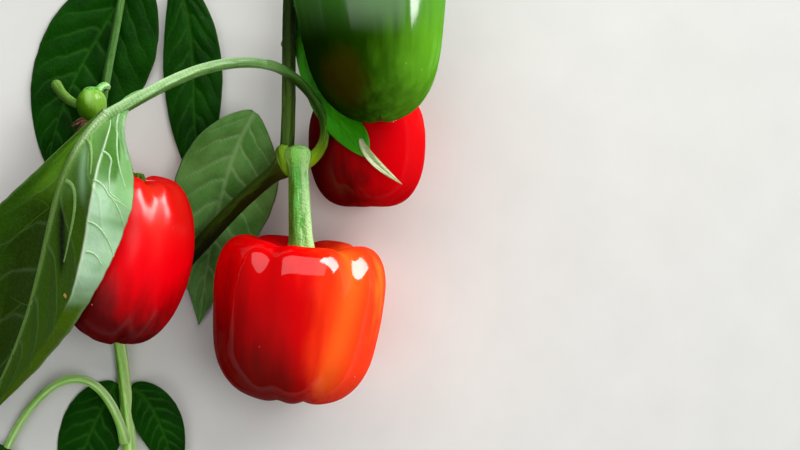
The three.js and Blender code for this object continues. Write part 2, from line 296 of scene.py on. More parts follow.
def makeSpeckEffect():
    tree, pins = startEffect("paleSpecks", {"Place": (0.0, 0.0, 0.0), "Spacing": 0.006, "Size": 0.06})
    away = cellDistance(tree, pins["Place"], pins["Spacing"])
    addNode(tree, "NodeGroupOutput", {0: 1.0 - away.ease(pins["Size"] * 0.4, pins["Size"])})
    return tree


def makeStreakEffect():
    usual = {"Skin": (0.0, 0.0, 0.0), "Count": 8.0, "Stretch": 0.12, "Detail": 4.0}
    tree, pins = startEffect("lengthStreaks", usual)
    x, y, z = pins["Skin"].parts()
    place = joined(tree, x * pins["Count"], y * pins["Count"] * pins["Stretch"], z * pins["Count"])
    addNode(tree, "NodeGroupOutput", {0: noiseAt(tree, place, detail=pins["Detail"]).ease(0.3, 0.7)})
    return tree


def makeNetEffect():
    tree, pins = startEffect("veinNet", {"Place": (0.0, 0.0, 0.0), "Cell": 0.004, "Line": 0.08})
    wobble = noiseAt(tree, pins["Place"], scale=300.0) * 0.0015
    place = pins["Place"] + joined(tree, wobble, wobble, 0.0)
    away = cellDistance(tree, place, pins["Cell"], feature="DISTANCE_TO_EDGE")
    addNode(tree, "NodeGroupOutput", {0: 1.0 - away.ease(pins["Line"] * 0.2, pins["Line"])})
    return tree


speckEffect = makeSpeckEffect()
streakEffect = makeStreakEffect()
netEffect = makeNetEffect()


def useEffect(tree, effect, **values):
    node = addNode(tree, "ShaderNodeGroup", node_tree=effect)
    for label, value in values.items():
        plug(tree, value, node.inputs[label])
    return Field(tree, node.outputs["Mask"])


# How far a direction points towards a side
def towardsSide(direction, side):
    return direction.vector("DOT_PRODUCT", side, output="Value")


# The waxy skin of a pepper: painted shade darkens it towards its shaded side, and painted light turns it
# warm towards the lit one, at its lit rim and down the grooves on the lit side; with streaks along it, a
# brown patch of painted shade, a painted highlight towards the top, and a few pale specks
def pepperSkin(name, values):
    material, tree, shader = startMaterial(
        name, Roughness=values["roughness"], Specular_IOR_Level=0.0, Coat_Weight=values["coat"],
        Coat_Roughness=values["coatRoughness"], Coat_IOR=1.6, Subsurface_Weight=0.08, Subsurface_Scale=0.003)
    shader.inputs["Subsurface Radius"].default_value = values["glow"]
    place = objectPlace(tree)
    skin = attribute(tree, "skin", "Vector")
    groove = attribute(tree, "groove")
    scar = attribute(tree, "scar")
    fromMiddle = place - values["middle"]
    _, alongBranch, _ = place.parts()
    lit = towardsSide(fromMiddle, values["litWarmSide"]) / values["reach"]
    shaded = towardsSide(fromMiddle, values["shadeSide"]) / values["reach"]
    streaks = useEffect(tree, streakEffect, Skin=skin, Count=values["streakCount"]) - 0.5
    blotches = noiseAt(tree, place, scale=values["blotchScale"], detail=3.0) - 0.5
    uneven = streaks * values["streakPull"] + blotches * values["blotchPull"]
    # painted shade: darker towards the shaded side
    dark = (shaded + uneven).ease(*values["shadeFrom"])
    colour = mixTints(tree, dark, values["main"], values["shade"])
    # painted light: warm towards the lit side, warmer still at the lit rim and in the grooves there
    litWarmth = (lit + uneven).ease(*values["litWarmFrom"])
    colour = mixTints(tree, litWarmth, colour, values["warm"])
    rim = (lit + uneven).ease(*values["rimFrom"])
    rim = rim.math("MAXIMUM", groove * litWarmth * values["litGrooveShow"])
    colour = mixTints(tree, rim, colour, values["rim"])
    # a brown patch of painted shade at its own place
    patch = (fromMiddle - values["brownShadePlace"]).vector("LENGTH", output="Value") / values["brownShadeReach"]
    brownShade = (1.0 - (patch + blotches * 1.5).ease(0.3, 1.0)) * values["brownShadeShow"]
    colour = mixTints(tree, brownShade, colour, values["brownShade"])
    # painted highlight: a paler tint towards the top of the pepper
    pale = (alongBranch + uneven * 0.006).ease(*values["topHighlightFrom"])
    colour = mixTints(tree, pale * values["topHighlightShow"], colour, values["pale"])
    specks = useEffect(tree, speckEffect, Place=place, Spacing=values["speckSpacing"], Size=0.05)
    colour = mixTints(tree, specks * 0.6, colour, values["speck"])
    colour = mixTints(tree, scar, colour, values["scar"])
    plug(tree, colour, shader.inputs["Base Color"])
    plug(tree, scar * 0.4 + specks * 0.2 + values["roughness"], shader.inputs["Roughness"])
    edgeOn = fieldFrom(tree, "ShaderNodeLayerWeight", "Facing", {"Blend": 0.5})
    wax = (1.0 - scar) * (1.0 - edgeOn.ease(0.12, 0.5) * values["edgeDulling"])
    wax = wax * alongBranch.ease(*values["waxFrom"])
    plug(tree, wax * values["coat"], shader.inputs["Coat Weight"])
    fine = noiseAt(tree, place, scale=900.0)
    bumped(tree, shader, fine * 0.25 + streaks + scar * 2.0, 0.00008, 0.5)
    return material


# The rind of shoots and stalks: painted shade on the side turned from the light and painted light on the
# side towards it, with ridges and furrows along it and painted shade in the furrows, fine pits, and its own
# tint at the swellings
def stalkSkin(name, values):
    material, tree, shader = startMaterial(
        name, Roughness=0.4, Specular_IOR_Level=0.1, Subsurface_Weight=0.06, Subsurface_Scale=0.002)
    place = objectPlace(tree)
    skin = attribute(tree, "skin", "Vector")
    ridge = attribute(tree, "ridge")
    swelling = attribute(tree, "swelling")
    streaks = useEffect(tree, streakEffect, Skin=skin, Count=values["streakCount"], Stretch=0.3)
    blotches = noiseAt(tree, place, scale=120.0, detail=4.0) - 0.5
    side = towardsSide(attribute(tree, "outward", "Vector"), values["lightSide"])
    side = side + blotches * values["blotchPull"] + (streaks - 0.5) * values["streakPull"]
    # painted shade on the side away from the light side, painted light on the side towards it
    colour = mixTints(tree, side.ease(-0.75, 0.1), values["dark"], values["main"])
    colour = mixTints(tree, side.ease(0.15, 0.85), colour, values["light"])
    # painted shade in the furrows between the ridges
    furrow = (1.0 - ridge) * values["furrowShow"]
    colour = mixTints(tree, furrow, colour, values["furrow"])
    late = (attribute(tree, "share") + blotches * 0.1).ease(*values["lateFrom"])
    colour = mixTints(tree, late * values["lateShow"], colour, values["late"])
    colour = mixTints(tree, swelling * values["endShow"], colour, values["end"])
    plug(tree, colour, shader.inputs["Base Color"])
    pits = fieldFrom(tree, "ShaderNodeTexVoronoi", 0, {"Vector": place, "Scale": values["pitScale"]})
    bumped(tree, shader, pits * values["pitDepth"] + streaks * 0.7, 0.0003)
    return material


# A leaf blade: its upper side, and under it the left side, the inner strip beside the midrib and the
# flap beyond the crease, with raised veins and a fine net. The underside tints are lit and shaded copies of
# one tissue: painted shade on the left side and the inner strip, painted light on the flap, with painted
# highlights on the inner strip and the crest and a painted shadow in the hollow beside the midrib
def leafSkin(name, values):
    material, tree, shader = startMaterial(
        name, Roughness=values["roughness"], Specular_IOR_Level=values["shine"], Subsurface_Weight=0.06,
        Subsurface_Scale=0.001)
    blade = attribute(tree, "blade", "Vector")
    vein = attribute(tree, "vein")
    under = attribute(tree, "underside")
    across = attribute(tree, "across")
    share = attribute(tree, "share")
    crest = attribute(tree, "crest")
    blotches = noiseAt(tree, blade, scale=values["blotchScale"], detail=4.0) - 0.5
    bandReach = 0.07  # half the width of the slanted bands, as a share of the blade's half

    # How far a point is past a stretch of the blade's length, with a cloudy edge
    def past(span, cloud):
        return (share + blotches * cloud).ease(*span)

    # A band that slants over the blade between two stretches of its length
    def slantedBand(edge, slope, offset, starts, ends):
        band = (edge - share * slope + offset).peak(bandReach)
        return band * share.ease(*starts) * (1.0 - share.ease(*ends))

    cloudy = (blotches + 0.5).ease(0.3, 0.7)
    upper = mixTints(tree, cloudy, values["upperDark"], values["upper"])
    # painted shade on the left half, with its outer band lighter as painted light on the fold there
    outer = (-across + blotches * 0.5).ease(0.35, 0.75)
    left = mixTints(tree, outer, values["underDark"], values["under"])
    start = (1.0 - past(values["leftStartSpan"], 0.15)) * (1.0 - (-across).ease(0.55, 0.85))
    left = mixTints(tree, start, left, values["leftStart"])
    strip = across.ease(0.0, 0.02)
    start = 1.0 - past(values["innerStartSpan"], 0.2)
    inner = mixTints(tree, start, values["underInner"], values["innerStart"])
    inner = mixTints(tree, strip, left, inner)
    # painted highlight: a pale band slanting over the inner strip
    highlight = slantedBand(across, *values["highlightBand"])
    inner = mixTints(tree, highlight * values["highlightShow"], inner, values["innerHighlight"])
    # painted shadow in the hollow beside the midrib
    hollowShadow = slantedBand(across + blotches * 0.1, *values["hollowShadowBand"])
    inner = mixTints(tree, hollowShadow * values["hollowShadowShow"], inner, values["hollowShadow"])
    flap = mixTints(tree, cloudy, values["flapDark"], values["flap"])
    flap = mixTints(tree, past(values["flapSpan"], 0.15), flap, values["flapEnd"])
    flap = mixTints(tree, 1.0 - past(values["flapStartSpan"], 0.12), flap, values["flapStart"])
    rim = (across + blotches * 0.05).ease(*values["rimSpan"]) * (1.0 - past(values["rimEndSpan"], 0.1))
    flap = mixTints(tree, rim * values["rimShow"], flap, values["flapRim"])
    underTint = mixTints(tree, attribute(tree, "beyond").ease(-0.02, 0.01), inner, flap)
    colour = mixTints(tree, under, upper, underTint)
    margin = across.math("ABSOLUTE").ease(0.93, 1.0)
    colour = mixTints(tree, margin * values["marginShow"], colour, values["vein"])
    net = useEffect(tree, netEffect, Place=blade, Cell=values["netCell"])
    colour = mixTints(tree, net * values["netShow"], colour, values["vein"])
    colour = mixTints(tree, vein * values["veinShow"], colour, values["vein"])
    # painted highlight along the fold crest
    colour = mixTints(tree, crest * values["crestHighlightShow"], colour, values["crestHighlight"])
    plug(tree, colour, shader.inputs["Base Color"])
    fine = noiseAt(tree, blade, scale=1500.0)
    bumped(tree, shader, net * values["netLift"] + fine * 0.3 + vein * 0.5, 0.0002, 0.8)
    return material


# The shape of a pepper body: its width and length, pinched at the grooves and dimpled at both ends.
# A groove has its angle from the upward side, and its depth on the body and at the ends.
usualPepper = inputValues({
    "Width": 0.08, "Length": 0.08, "Taper": 0.15, "End Roundness": 0.8, "Stalk Side Roundness": 0.5,
    "Blossom Side Roundness": 0.7, "Groove Depth": 0.03, "End Groove Depth": 0.09, "Groove Width": 15.0,
    "grooves": [(0.0, 1.0, 1.0), (90.0, 1.0, 1.0), (180.0, 1.0, 1.0), (-90.0, 1.0, 1.0), (45.0, 0.0, 0.0),
                (0.0, 0.0, 0.0)],
    "Groove Shortening": 0.35, "Groove Spread": 0.0, "Blossom Groove Share": 1.0, "Stalk Dimple": 0.011,
    "Blossom Dimple": 0.004, "Dimple Spread": 0.62, "Front Rise": 0.0, "Front Softness": 0.0,
    "Dent Depth": 0.02, "Dent Count": 2.2, "Ripple Depth": 0.006, "Seed": 1.0, "Around": 200, "Rows": 120,
})


# Where a point of the skin is: down from the stalk end and round from the upward side
def pepperPlace(pins, down, turn, grow):
    cosine = down.math("COSINE")
    stalkHalf = cosine.math("GREATER_THAN", 0.0)
    along = cosine.math("SIGN") * cosine.math("ABSOLUTE") ** pins["End Roundness"] * 0.5
    edge = (along * 2.0).math("ABSOLUTE") ** 3.0
    endShare = stalkHalf + (1.0 - stalkHalf) * pins["Blossom Groove Share"]
    groove = 0.0
    pinch = 0.0
    for number in range(1, 7):
        angle, bodyDepth, endDepth = pins[f"Groove {number}"].parts()
        spread = angle.math("RADIANS").math("SINE") * pins["Groove Spread"] * along * 2.0
        line = (turn - angle - spread).math("WRAP", 180.0, -180.0).peak(pins["Groove Width"])
        groove = line * bodyDepth + groove
        depth = pins["Groove Depth"] * bodyDepth + pins["End Groove Depth"] * edge * endDepth * endShare
        pinch = line * depth + pinch
    sideRoundness = pins["Blossom Side Roundness"] + stalkHalf * (
        pins["Stalk Side Roundness"] - pins["Blossom Side Roundness"])
    radians = turn.math("RADIANS")
    rightward = radians.math("SINE")
    frontward = radians.math("COSINE")
    softened = pins["Front Softness"] * frontward.math("MAXIMUM", 0.0) * stalkHalf
    share = down.math("SINE").math("ABSOLUTE") ** (sideRoundness + softened)
    tree = share.tree
    skin = joined(tree, rightward * share, along * 2.0, frontward * share)
    shift = joined(tree, pins["Seed"], pins["Seed"] * 1.7, pins["Seed"] * 0.6)
    dents = noiseAt(tree, skin.scaled(pins["Dent Count"]) + shift, detail=1.5) - 0.5
    ripples = noiseAt(tree, skin * joined(tree, 7.0, 0.9, 7.0) + shift) - 0.5
    uneven = dents * pins["Dent Depth"] + ripples * pins["Ripple Depth"]
    widest = pins["Width"] * 0.5 * (1.0 - pins["Taper"] * (0.5 - along)) + grow
    radius = widest * share * (1.0 - pinch) * (uneven + 1.0)
    sink = pins["Blossom Dimple"] - stalkHalf * (pins["Stalk Dimple"] + pins["Blossom Dimple"])
    rimFade = (pins["Dimple Spread"] ** -2.0 * -1.0).math("EXPONENT")
    dimple = sink * (share.peak(pins["Dimple Spread"]) - rimFade)
    rise = pins["Front Rise"] * (frontward * 0.5 + 0.5) * share * stalkHalf * edge
    height = (pins["Length"] + grow * 2.0) * along * (1.0 - pinch * pins["Groove Shortening"])
    place = joined(tree, radius * rightward, height + dimple + rise, radius * frontward)
    return place, skin, groove, share, stalkHalf


def makePepperTree():
    tree, pins = startTree("pepperBody", usualPepper)
    sheet, around, rows = startSheet(tree, pins["Around"], pins["Rows"])
    place, skin, groove, share, stalkHalf = pepperPlace(pins, rows * math.pi, around * 360.0 - 180.0, 0.0)
    scar = (1.0 - share.ease(0.04, 0.1)) * (1.0 - stalkHalf)
    kept = {"skin": skin, "groove": groove, "scar": scar}
    return finishTree(tree, shapeSheet(tree, sheet, place, kept), pins["Material"])


# The green cap where a stalk meets its pepper: a lobed patch of the same skin shape, a little thicker
def makeCapTree():
    usual = {**usualPepper, "Cap Share": 0.34, "Lobes": 5.0, "Lobe Depth": 0.2, "Thickness": 0.0014,
             "Around": 120, "Rows": 24}
    tree, pins = startTree("calyxCap", usual)
    sheets = []
    for direction in (1.0, -1.0):
        sheet, around, out = startSheet(tree, pins["Around"], pins["Rows"])
        turn = around * 360.0 - 180.0
        lobes = (turn.math("RADIANS") * pins["Lobes"]).math("COSINE")
        share = out * pins["Cap Share"] * (1.0 + lobes * pins["Lobe Depth"] * out)
        down = (share ** (pins["Stalk Side Roundness"] ** -1.0)).math("ARCSINE")
        grow = (1.0 - out ** 4.0) * pins["Thickness"] * direction
        place, skin, _, _, _ = pepperPlace(pins, down, turn, grow)
        kept = {"skin": skin, "ridge": lobes * 0.5 + 0.5, "swelling": 1.0 - out}
        sheets.append(shapeSheet(tree, sheet, place + joined(tree, 0.0, grow, 0.0), kept))
    return finishTree(tree, closedSheets(tree, *sheets), pins["Material"])


def startPath(tree, pins, steps=64):
    inputs = {"Resolution": steps, **{label: pins[label] for label in usualPath}}
    curve = addNode(tree, "GeometryNodeCurvePrimitiveBezierSegment", inputs, mode="POSITION").outputs[0]
    return curve, fieldFrom(tree, "GeometryNodeCurveLength", 0, {"Curve": curve})


def alongPath(tree, curve, share):
    sample = addNode(tree, "GeometryNodeSampleCurve", {"Curves": curve, "Factor": share}, mode="FACTOR")
    return [Field(tree, sample.outputs[label]) for label in ("Position", "Tangent", "Normal")]


# A limb along a path: it tapers, swells at both ends, and has ridges, a channel and a rough rind
def makeLimbTree():
    usual = {
        **usualPath, "Start Radius": 0.003, "End Radius": 0.003, "Taper Power": 1.0, "Start Swell": 0.0,
        "End Swell": 0.0, "Swell Reach": 0.005, "Ridges": 5.0, "Ridge Depth": 0.06, "Twist": 0.6,
        "Channel Depth": 0.0, "Channel Turn": 90.0, "Channel Width": 28.0, "Rind Depth": 0.04,
        "Rind Size": 0.004, "Cross Depth": 0.0, "Cross Pitch": 0.0016, "Start Dome": 0.3, "End Dome": 0.3,
        "Seed": 1.0, "Around": 48, "Rows": 120}
    tree, pins = startTree("ridgedLimb", usual)
    curve, length = startPath(tree, pins)
    sheet, around, rows = startSheet(tree, pins["Around"], pins["Rows"])
    capShare = 0.06  # the share of the rows that closes each end
    share = ((rows - capShare) / (1.0 - 2 * capShare)).math("MINIMUM", 1.0).math("MAXIMUM", 0.0)
    startAngle = (rows / capShare).math("MINIMUM", 1.0) * (math.pi / 2)
    endAngle = ((1.0 - rows) / capShare).math("MINIMUM", 1.0) * (math.pi / 2)
    cap = startAngle.math("SINE") * endAngle.math("SINE")
    centre, tangent, normal = alongPath(tree, curve, share)
    binormal = tangent.vector("CROSS_PRODUCT", normal)
    walked = share * length
    startBulge = walked.peak(pins["Swell Reach"])
    endBulge = (length - walked).peak(pins["Swell Reach"])
    turn = around * math.tau
    ridge = (turn * pins["Ridges"] + share * pins["Twist"] * math.tau).math("COSINE")
    channel = (around * 360.0 - pins["Channel Turn"]).math("WRAP", 180.0, -180.0).peak(pins["Channel Width"])
    taper = (pins["End Radius"] - pins["Start Radius"]) * share ** pins["Taper Power"]
    radius = pins["Start Radius"] + taper + startBulge * pins["Start Swell"] + endBulge * pins["End Swell"]
    sideways = turn.math("COSINE")
    upward = turn.math("SINE")
    grain = pins["Rind Size"]
    acrossGrain = sideways * radius / grain + pins["Seed"]
    lookup = joined(tree, acrossGrain, upward * radius / grain, walked / grain * 0.45)
    rind = (noiseAt(tree, lookup, detail=3.0) - 0.5) * pins["Rind Depth"] * 2.0
    cross = (walked / pins["Cross Pitch"] * math.tau + rind * 30.0).math("SINE") * pins["Cross Depth"]
    relief = ridge * pins["Ridge Depth"] - channel * pins["Channel Depth"] + rind + cross
    grown = radius * (relief + 1.0) * cap
    outward = normal.scaled(sideways) + binormal.scaled(upward)
    beyond = endAngle.math("COSINE") * pins["End Dome"] - startAngle.math("COSINE") * pins["Start Dome"]
    place = centre + outward.scaled(grown) + tangent.scaled(beyond * radius)
    startMark = startBulge * pins["Start Swell"].math("SIGN")
    endMark = endBulge * pins["End Swell"].math("SIGN")
    kept = {
        "skin": joined(tree, sideways, walked / 0.01, upward),
        "outward": outward,
        "ridge": ridge * 0.5 + 0.5,
        "swelling": startMark.math("MAXIMUM", endMark),
        "share": share,
    }
    return finishTree(tree, shapeSheet(tree, sheet, place, kept), pins["Material"])


# A leaf blade: a folded section slides along the midrib and follows the outline, with veins that
# leave the midrib and bend towards the tip. Inner and Outer are the slopes of the blade, in degrees,
# before and beyond its crease.
usualLeaf = {**usualPath, **inputValues({
    "Half": 0.02, "Widest": 0.4, "Sharpness": 0.9, "Crease": 0.5, "Crease Softness": 0.25,
    "Crease Spread": 0.0, "Inner": 4.0, "Outer": -3.0, "Wave": 0.0008, "Wave Reach": 0.005, "Root": 0.002,
    "Tip Narrowing": 0.85, "Thickness": 0.0006, "Vein Count": 9.0, "Vein Bend": 0.2, "Vein Wobble": 0.35,
    "Vein Width": 0.0006, "Vein Lift": 0.0005, "Rib Width": 0.0013, "Rib Lift": 0.0012, "Quilt": 0.0006,
    "Margin Wobble": 0.05, "Underside Up": 0.0, "Seed": 1.0, "Columns": 56, "Rows": 100,
})}


def makeLeafTree():
    tree, pins = startTree("leafBlade", usualLeaf)
    curve, length = startPath(tree, pins)
    edgeFade = 12.0  # how fast the blade gets its thickness from its margins
    endFade = 60.0  # and from its root and its tip
    creaseSettled = 0.42  # the share of the length where the crease has its full distance
    marginLumps = 14.0  # uneven places along the margin
    sheets = []
    for direction in (1.0, -1.0):  # the upper sheet, then the under one
        sheet, columns, share = startSheet(tree, pins["Columns"], pins["Rows"])
        across = columns * 2.0 - 1.0
        out = across.math("ABSOLUTE")
        isRight = across.math("GREATER_THAN", 0.0)
        rib, tangent, _ = alongPath(tree, curve, share)
        _, _, climb = tangent.parts()
        face = (joined(tree, 0.0, 0.0, 1.0) - tangent.scaled(climb)).vector("NORMALIZE")
        side = face.vector("CROSS_PRODUCT", tangent)

        def pick(label):
            left = pins[label + " Left"]
            return left + isRight * (pins[label + " Right"] - left)

        power = pick("Widest").math("LOGARITHM", math.e) ** -1.0 * math.log(0.5)
        outline = (share ** power * math.pi).math("SINE").math("MAXIMUM", 0.0) ** pick("Sharpness")
        ragged = noiseAt(tree, joined(tree, share * marginLumps, isRight * 5.0, pins["Seed"])) - 0.5
        width = outline * pick("Half") * (ragged * pins["Margin Wobble"] + 1.0)
        width = width + pick("Root") * (1.0 - pins["Tip Narrowing"] * share)
        narrowing = pins["Crease Spread"] * (1.0 - share / creaseSettled).math("MAXIMUM", 0.0)
        crease = pick("Crease") * (1.0 - narrowing)
        inner = out.math("SMOOTH_MIN", crease, pins["Crease Softness"] * 0.5).math("MAXIMUM", 0.0)
        outer = out - inner
        slopeIn = pick("Inner").math("RADIANS")
        slopeOut = pick("Outer").math("RADIANS")
        reach = (inner * slopeIn.math("COSINE") + outer * slopeOut.math("COSINE")) * width
        lift = (inner * slopeIn.math("SINE") + outer * slopeOut.math("SINE")) * width
        ripple = (share * length / pins["Wave Reach"] + across).math("SINE")
        wave = pins["Wave"] * outline * out ** 3.0 * ripple
        towards = pins["Underside Up"] * 2.0 - 1.0
        drift = noiseAt(tree, joined(tree, share * 5.0, across * 2.2, pins["Seed"]), detail=1.0) - 0.5
        phase = (share - pins["Vein Bend"] * out ** 1.3) * pins["Vein Count"] + isRight * 0.5
        phase = phase + drift * pins["Vein Wobble"] * 2.0
        strip = phase.math("WRAP", 0.5, -0.5)
        away = strip.math("ABSOLUTE") * length / pins["Vein Count"] * 0.8
        started = share.ease(0.02, 0.08) * (1.0 - share.ease(0.9, 0.98))
        vein = away.peak(pins["Vein Width"] * (1.3 - out)) * (1.0 - out ** 4.0) * started
        ribWidth = pins["Rib Width"] * (1.1 - share)
        ribLine = (out * width).peak(ribWidth)
        ribShape = ribLine * (1.05 - share)
        bulge = (strip * math.pi).math("SINE") ** 2.0 * out.ease(0.0, 0.25) * (1.0 - out ** 3.0) * started
        relief = pins["Vein Lift"] * vein * (1.2 - out) + pins["Rib Lift"] * ribShape - pins["Quilt"] * bulge
        inside = ((1.0 - out) * edgeFade).math("MINIMUM", 1.0) * (share * endFade).math("MINIMUM", 1.0)
        inside = inside * ((1.0 - share) * endFade).math("MINIMUM", 1.0)
        rise = lift + wave + relief * towards * inside + pins["Thickness"] * inside * (0.5 * direction)
        place = rib + side.scaled(across.math("SIGN") * reach) + face.scaled(rise)
        shown = pins["Underside Up"] if direction > 0 else 1.0 - pins["Underside Up"]
        kept = {
            "blade": joined(tree, share * length, across * width, direction),
            "vein": vein.math("MAXIMUM", ribLine),
            "crest": (out - crease).peak(0.018) * isRight * (1.0 - share.ease(0.36, 0.48)),
            "beyond": isRight * (out - crease + 1.0) - 1.0,
            "across": across,
            "share": share,
            "underside": shown,
        }
        sheets.append(shapeSheet(tree, sheet, place, kept))
    return finishTree(tree, closedSheets(tree, *sheets), pins["Material"])


# A raised vein: drawn in plan, dropped onto a blade from above, and thinner towards its end
def makeVeinTree():
    usual = {**usualPath, "Start Radius": 0.0005, "End Radius": 0.0002, "Sink": 0.3, "Pieces": 60}
    tree, pins = startTree("drapedVein", usual)
    aboveBlades = 0.2
    curve, _ = startPath(tree, pins, 60)
    line = addNode(tree, "GeometryNodeResampleCurve", {"Curve": curve, "Count": pins["Pieces"]})
    blade = addNode(tree, "GeometryNodeObjectInfo", {"Object": pins["Object"]}).outputs["Geometry"]
    x, y, _ = fieldFrom(tree, "GeometryNodeInputPosition").parts()
    dropped = addNode(tree, "GeometryNodeRaycast", {
        "Target Geometry": blade, "Source Position": joined(tree, x, y, aboveBlades),
        "Ray Direction": (0.0, 0.0, -1.0), "Ray Length": 1.0})
    along = fieldFrom(tree, "GeometryNodeSplineParameter", "Factor")
    radius = pins["Start Radius"] + (pins["End Radius"] - pins["Start Radius"]) * along
    hit = Field(tree, dropped.outputs["Hit Position"]) + joined(tree, 0.0, 0.0, radius * pins["Sink"])
    missed = 1.0 - Field(tree, dropped.outputs["Is Hit"])
    kept = addNode(tree, "GeometryNodeDeleteGeometry", {"Geometry": line.outputs[0], "Selection": missed})
    laid = addNode(tree, "GeometryNodeSetPosition", {"Geometry": kept.outputs[0], "Position": hit})
    ring = addNode(tree, "GeometryNodeCurvePrimitiveCircle", {"Resolution": 8, "Radius": 1.0})
    tube = addNode(tree, "GeometryNodeCurveToMesh", {
        "Curve": laid.outputs[0], "Profile Curve": ring.outputs[0], "Scale": radius, "Fill Caps": True})
    return finishTree(tree, tube.outputs[0], pins["Material"], 1e-7)


pepperTree = makePepperTree()
capTree = makeCapTree()
limbTree = makeLimbTree()
leafTree = makeLeafTree()
veinTree = makeVeinTree()
print("trees built")


# Where a pepper lies: it leans to the right in plan, and its stalk end nods up
def pepperMatrix(values):
    lean = math.radians(values["lean"])
    nod = math.radians(values["nod"])
    axis = Vector((math.sin(lean), math.cos(lean), math.tan(nod))).normalized()
    front = (Vector((0, 0, 1)) - axis * axis.z).normalized()
    right = axis.cross(front)
    turned = Matrix((right, axis, front)).transposed().to_4x4()
    return Matrix.Translation(values["middle"]) @ turned


# The CAD node that a piece stands for has the piece's name in snake case
def nodeOf(name):
    return "".join("_" + letter.lower() if letter.isupper() else letter for letter in name)


def growPepper(name, values, capSkin, slotName):
    skinValues = {**usualPepperTints, "middle": values["middle"], **values["skin"]}
    skin = pepperSkin(name + "Skin", skinValues)
    matrix = pepperMatrix(values)
    body = growPiece(name, pepperTree, {**values["shape"], **values["mesh"]}, skin, matrix)
    settle(body, slotName, nodeOf(name))
    cap = growPiece(name + "Cap", capTree, {**values["shape"], **values["cap"]}, capSkin, matrix)
    settle(cap, "stalk_skin", nodeOf(name))


def growLimb(name, values, skin, slotName, node=None):
    settle(growPiece(name, limbTree, values, skin), slotName, node or nodeOf(name))


def growLeaf(name, values, skin, node=None):
    leaf = growPiece(name, leafTree, values, skin)
    settle(leaf, "leaf_blade", node or nodeOf(name))
    return leaf


usualStalkTints = {
    "dark": tint(60, 84, 14), "main": tint(100, 156, 62), "light": tint(190, 226, 164),
    "end": tint(120, 170, 40), "endShow": 0.35, "furrow": tint(70, 104, 30), "furrowShow": 0.35,
    "late": tint(100, 156, 62), "lateFrom": (0.5, 1.0), "lateShow": 0.0, "lightSide": (0.9, 0.0, 0.42),
    "streakCount": 3.5, "streakPull": 0.8, "blotchPull": 0.7, "pitScale": 1500.0, "pitDepth": 0.8,
}


# A rind from three tints, dark to light, and whatever else differs from the usual one; the dark tint is
# painted shade and the light tint painted light, each on its own side
def rindSkin(name, dark, main, light, **changes):
    tints = {"dark": tint(*dark), "main": tint(*main), "light": tint(*light)}
    return stalkSkin(name, {**usualStalkTints, **tints, **changes})


# raised tints: painted light where the green pepper shades the front pepper's stalk, and less red to offset
# the red light bounced from the front pepper
stalkGreen = rindSkin(
    "stalkGreen", (76, 122, 16), (106, 196, 84), (196, 255, 172), end=tint(176, 246, 110), pitScale=1000.0,
    pitDepth=1.8, lightSide=(0.95, 0.0, 0.3))
leafStalkGreen = rindSkin(
    "leafStalkGreen", (78, 130, 50), (122, 172, 96), (180, 220, 158), lightSide=(-0.35, 0.7, 0.6),
    end=tint(92, 148, 60))
# painted highlight: lighter towards its end at the bend
bentStalkGreen = rindSkin(
    "bentStalkGreen", (10, 38, 2), (24, 62, 4), (70, 122, 40), lightSide=(0.75, 0.5, 0.3),
    end=tint(160, 204, 30), endShow=0.95, late=tint(118, 166, 92), lateFrom=(0.78, 1.0), lateShow=0.85)
# raised tints: painted light where the low stalk lies in shade
brightStalkGreen = rindSkin("brightStalkGreen", (112, 170, 60), (170, 232, 112), (212, 250, 172))
capGreen = rindSkin("capGreen", (54, 84, 14), (74, 118, 30), (126, 168, 70))
darkShoot = rindSkin(
    "darkShoot", (20, 18, 1), (26, 34, 1), (48, 72, 10), furrow=tint(18, 20, 1), end=tint(50, 56, 12),
    endShow=0.7, lightSide=(-0.5, 0.6, 0.5), streakPull=0.6)
upperShoot = rindSkin(
    "upperShoot", (16, 40, 2), (34, 60, 8), (74, 102, 36), furrow=tint(22, 46, 4), end=tint(92, 118, 50),
    endShow=0.7, lightSide=(0.25, 0.0, 0.95), streakPull=0.6, late=tint(14, 34, 4), lateFrom=(0.25, 0.55),
    lateShow=0.75)
# raised tints: painted light where the left pepper shades the main stem
greenShoot = rindSkin(
    "greenShoot", (100, 158, 40), (168, 232, 98), (210, 250, 160), furrow=tint(84, 140, 36))
leftShootSkin = rindSkin(
    "leftShootSkin", (40, 80, 26), (66, 112, 44), (94, 142, 70), furrow=tint(44, 80, 24))
midribSkin = rindSkin(
    "midribSkin", (100, 146, 60), (136, 182, 104), (184, 218, 160), lightSide=(-0.35, 0.7, 0.6),
    furrow=tint(84, 124, 44), pitDepth=1.2, late=tint(92, 130, 40), lateFrom=(0.03, 0.17), lateShow=0.8)
veinSkin = rindSkin("veinSkin", (96, 136, 62), (120, 160, 88), (146, 182, 118), furrowShow=0.0)
# veins on the left half, darkened with the same painted shade as the blade there
shadedVeinSkin = rindSkin("shadedVeinSkin", (50, 82, 12), (64, 98, 18), (84, 118, 34), furrowShow=0.0)
paleVeinSkin = rindSkin("paleVeinSkin", (150, 188, 140), (166, 202, 154), (182, 214, 168), furrowShow=0.0)

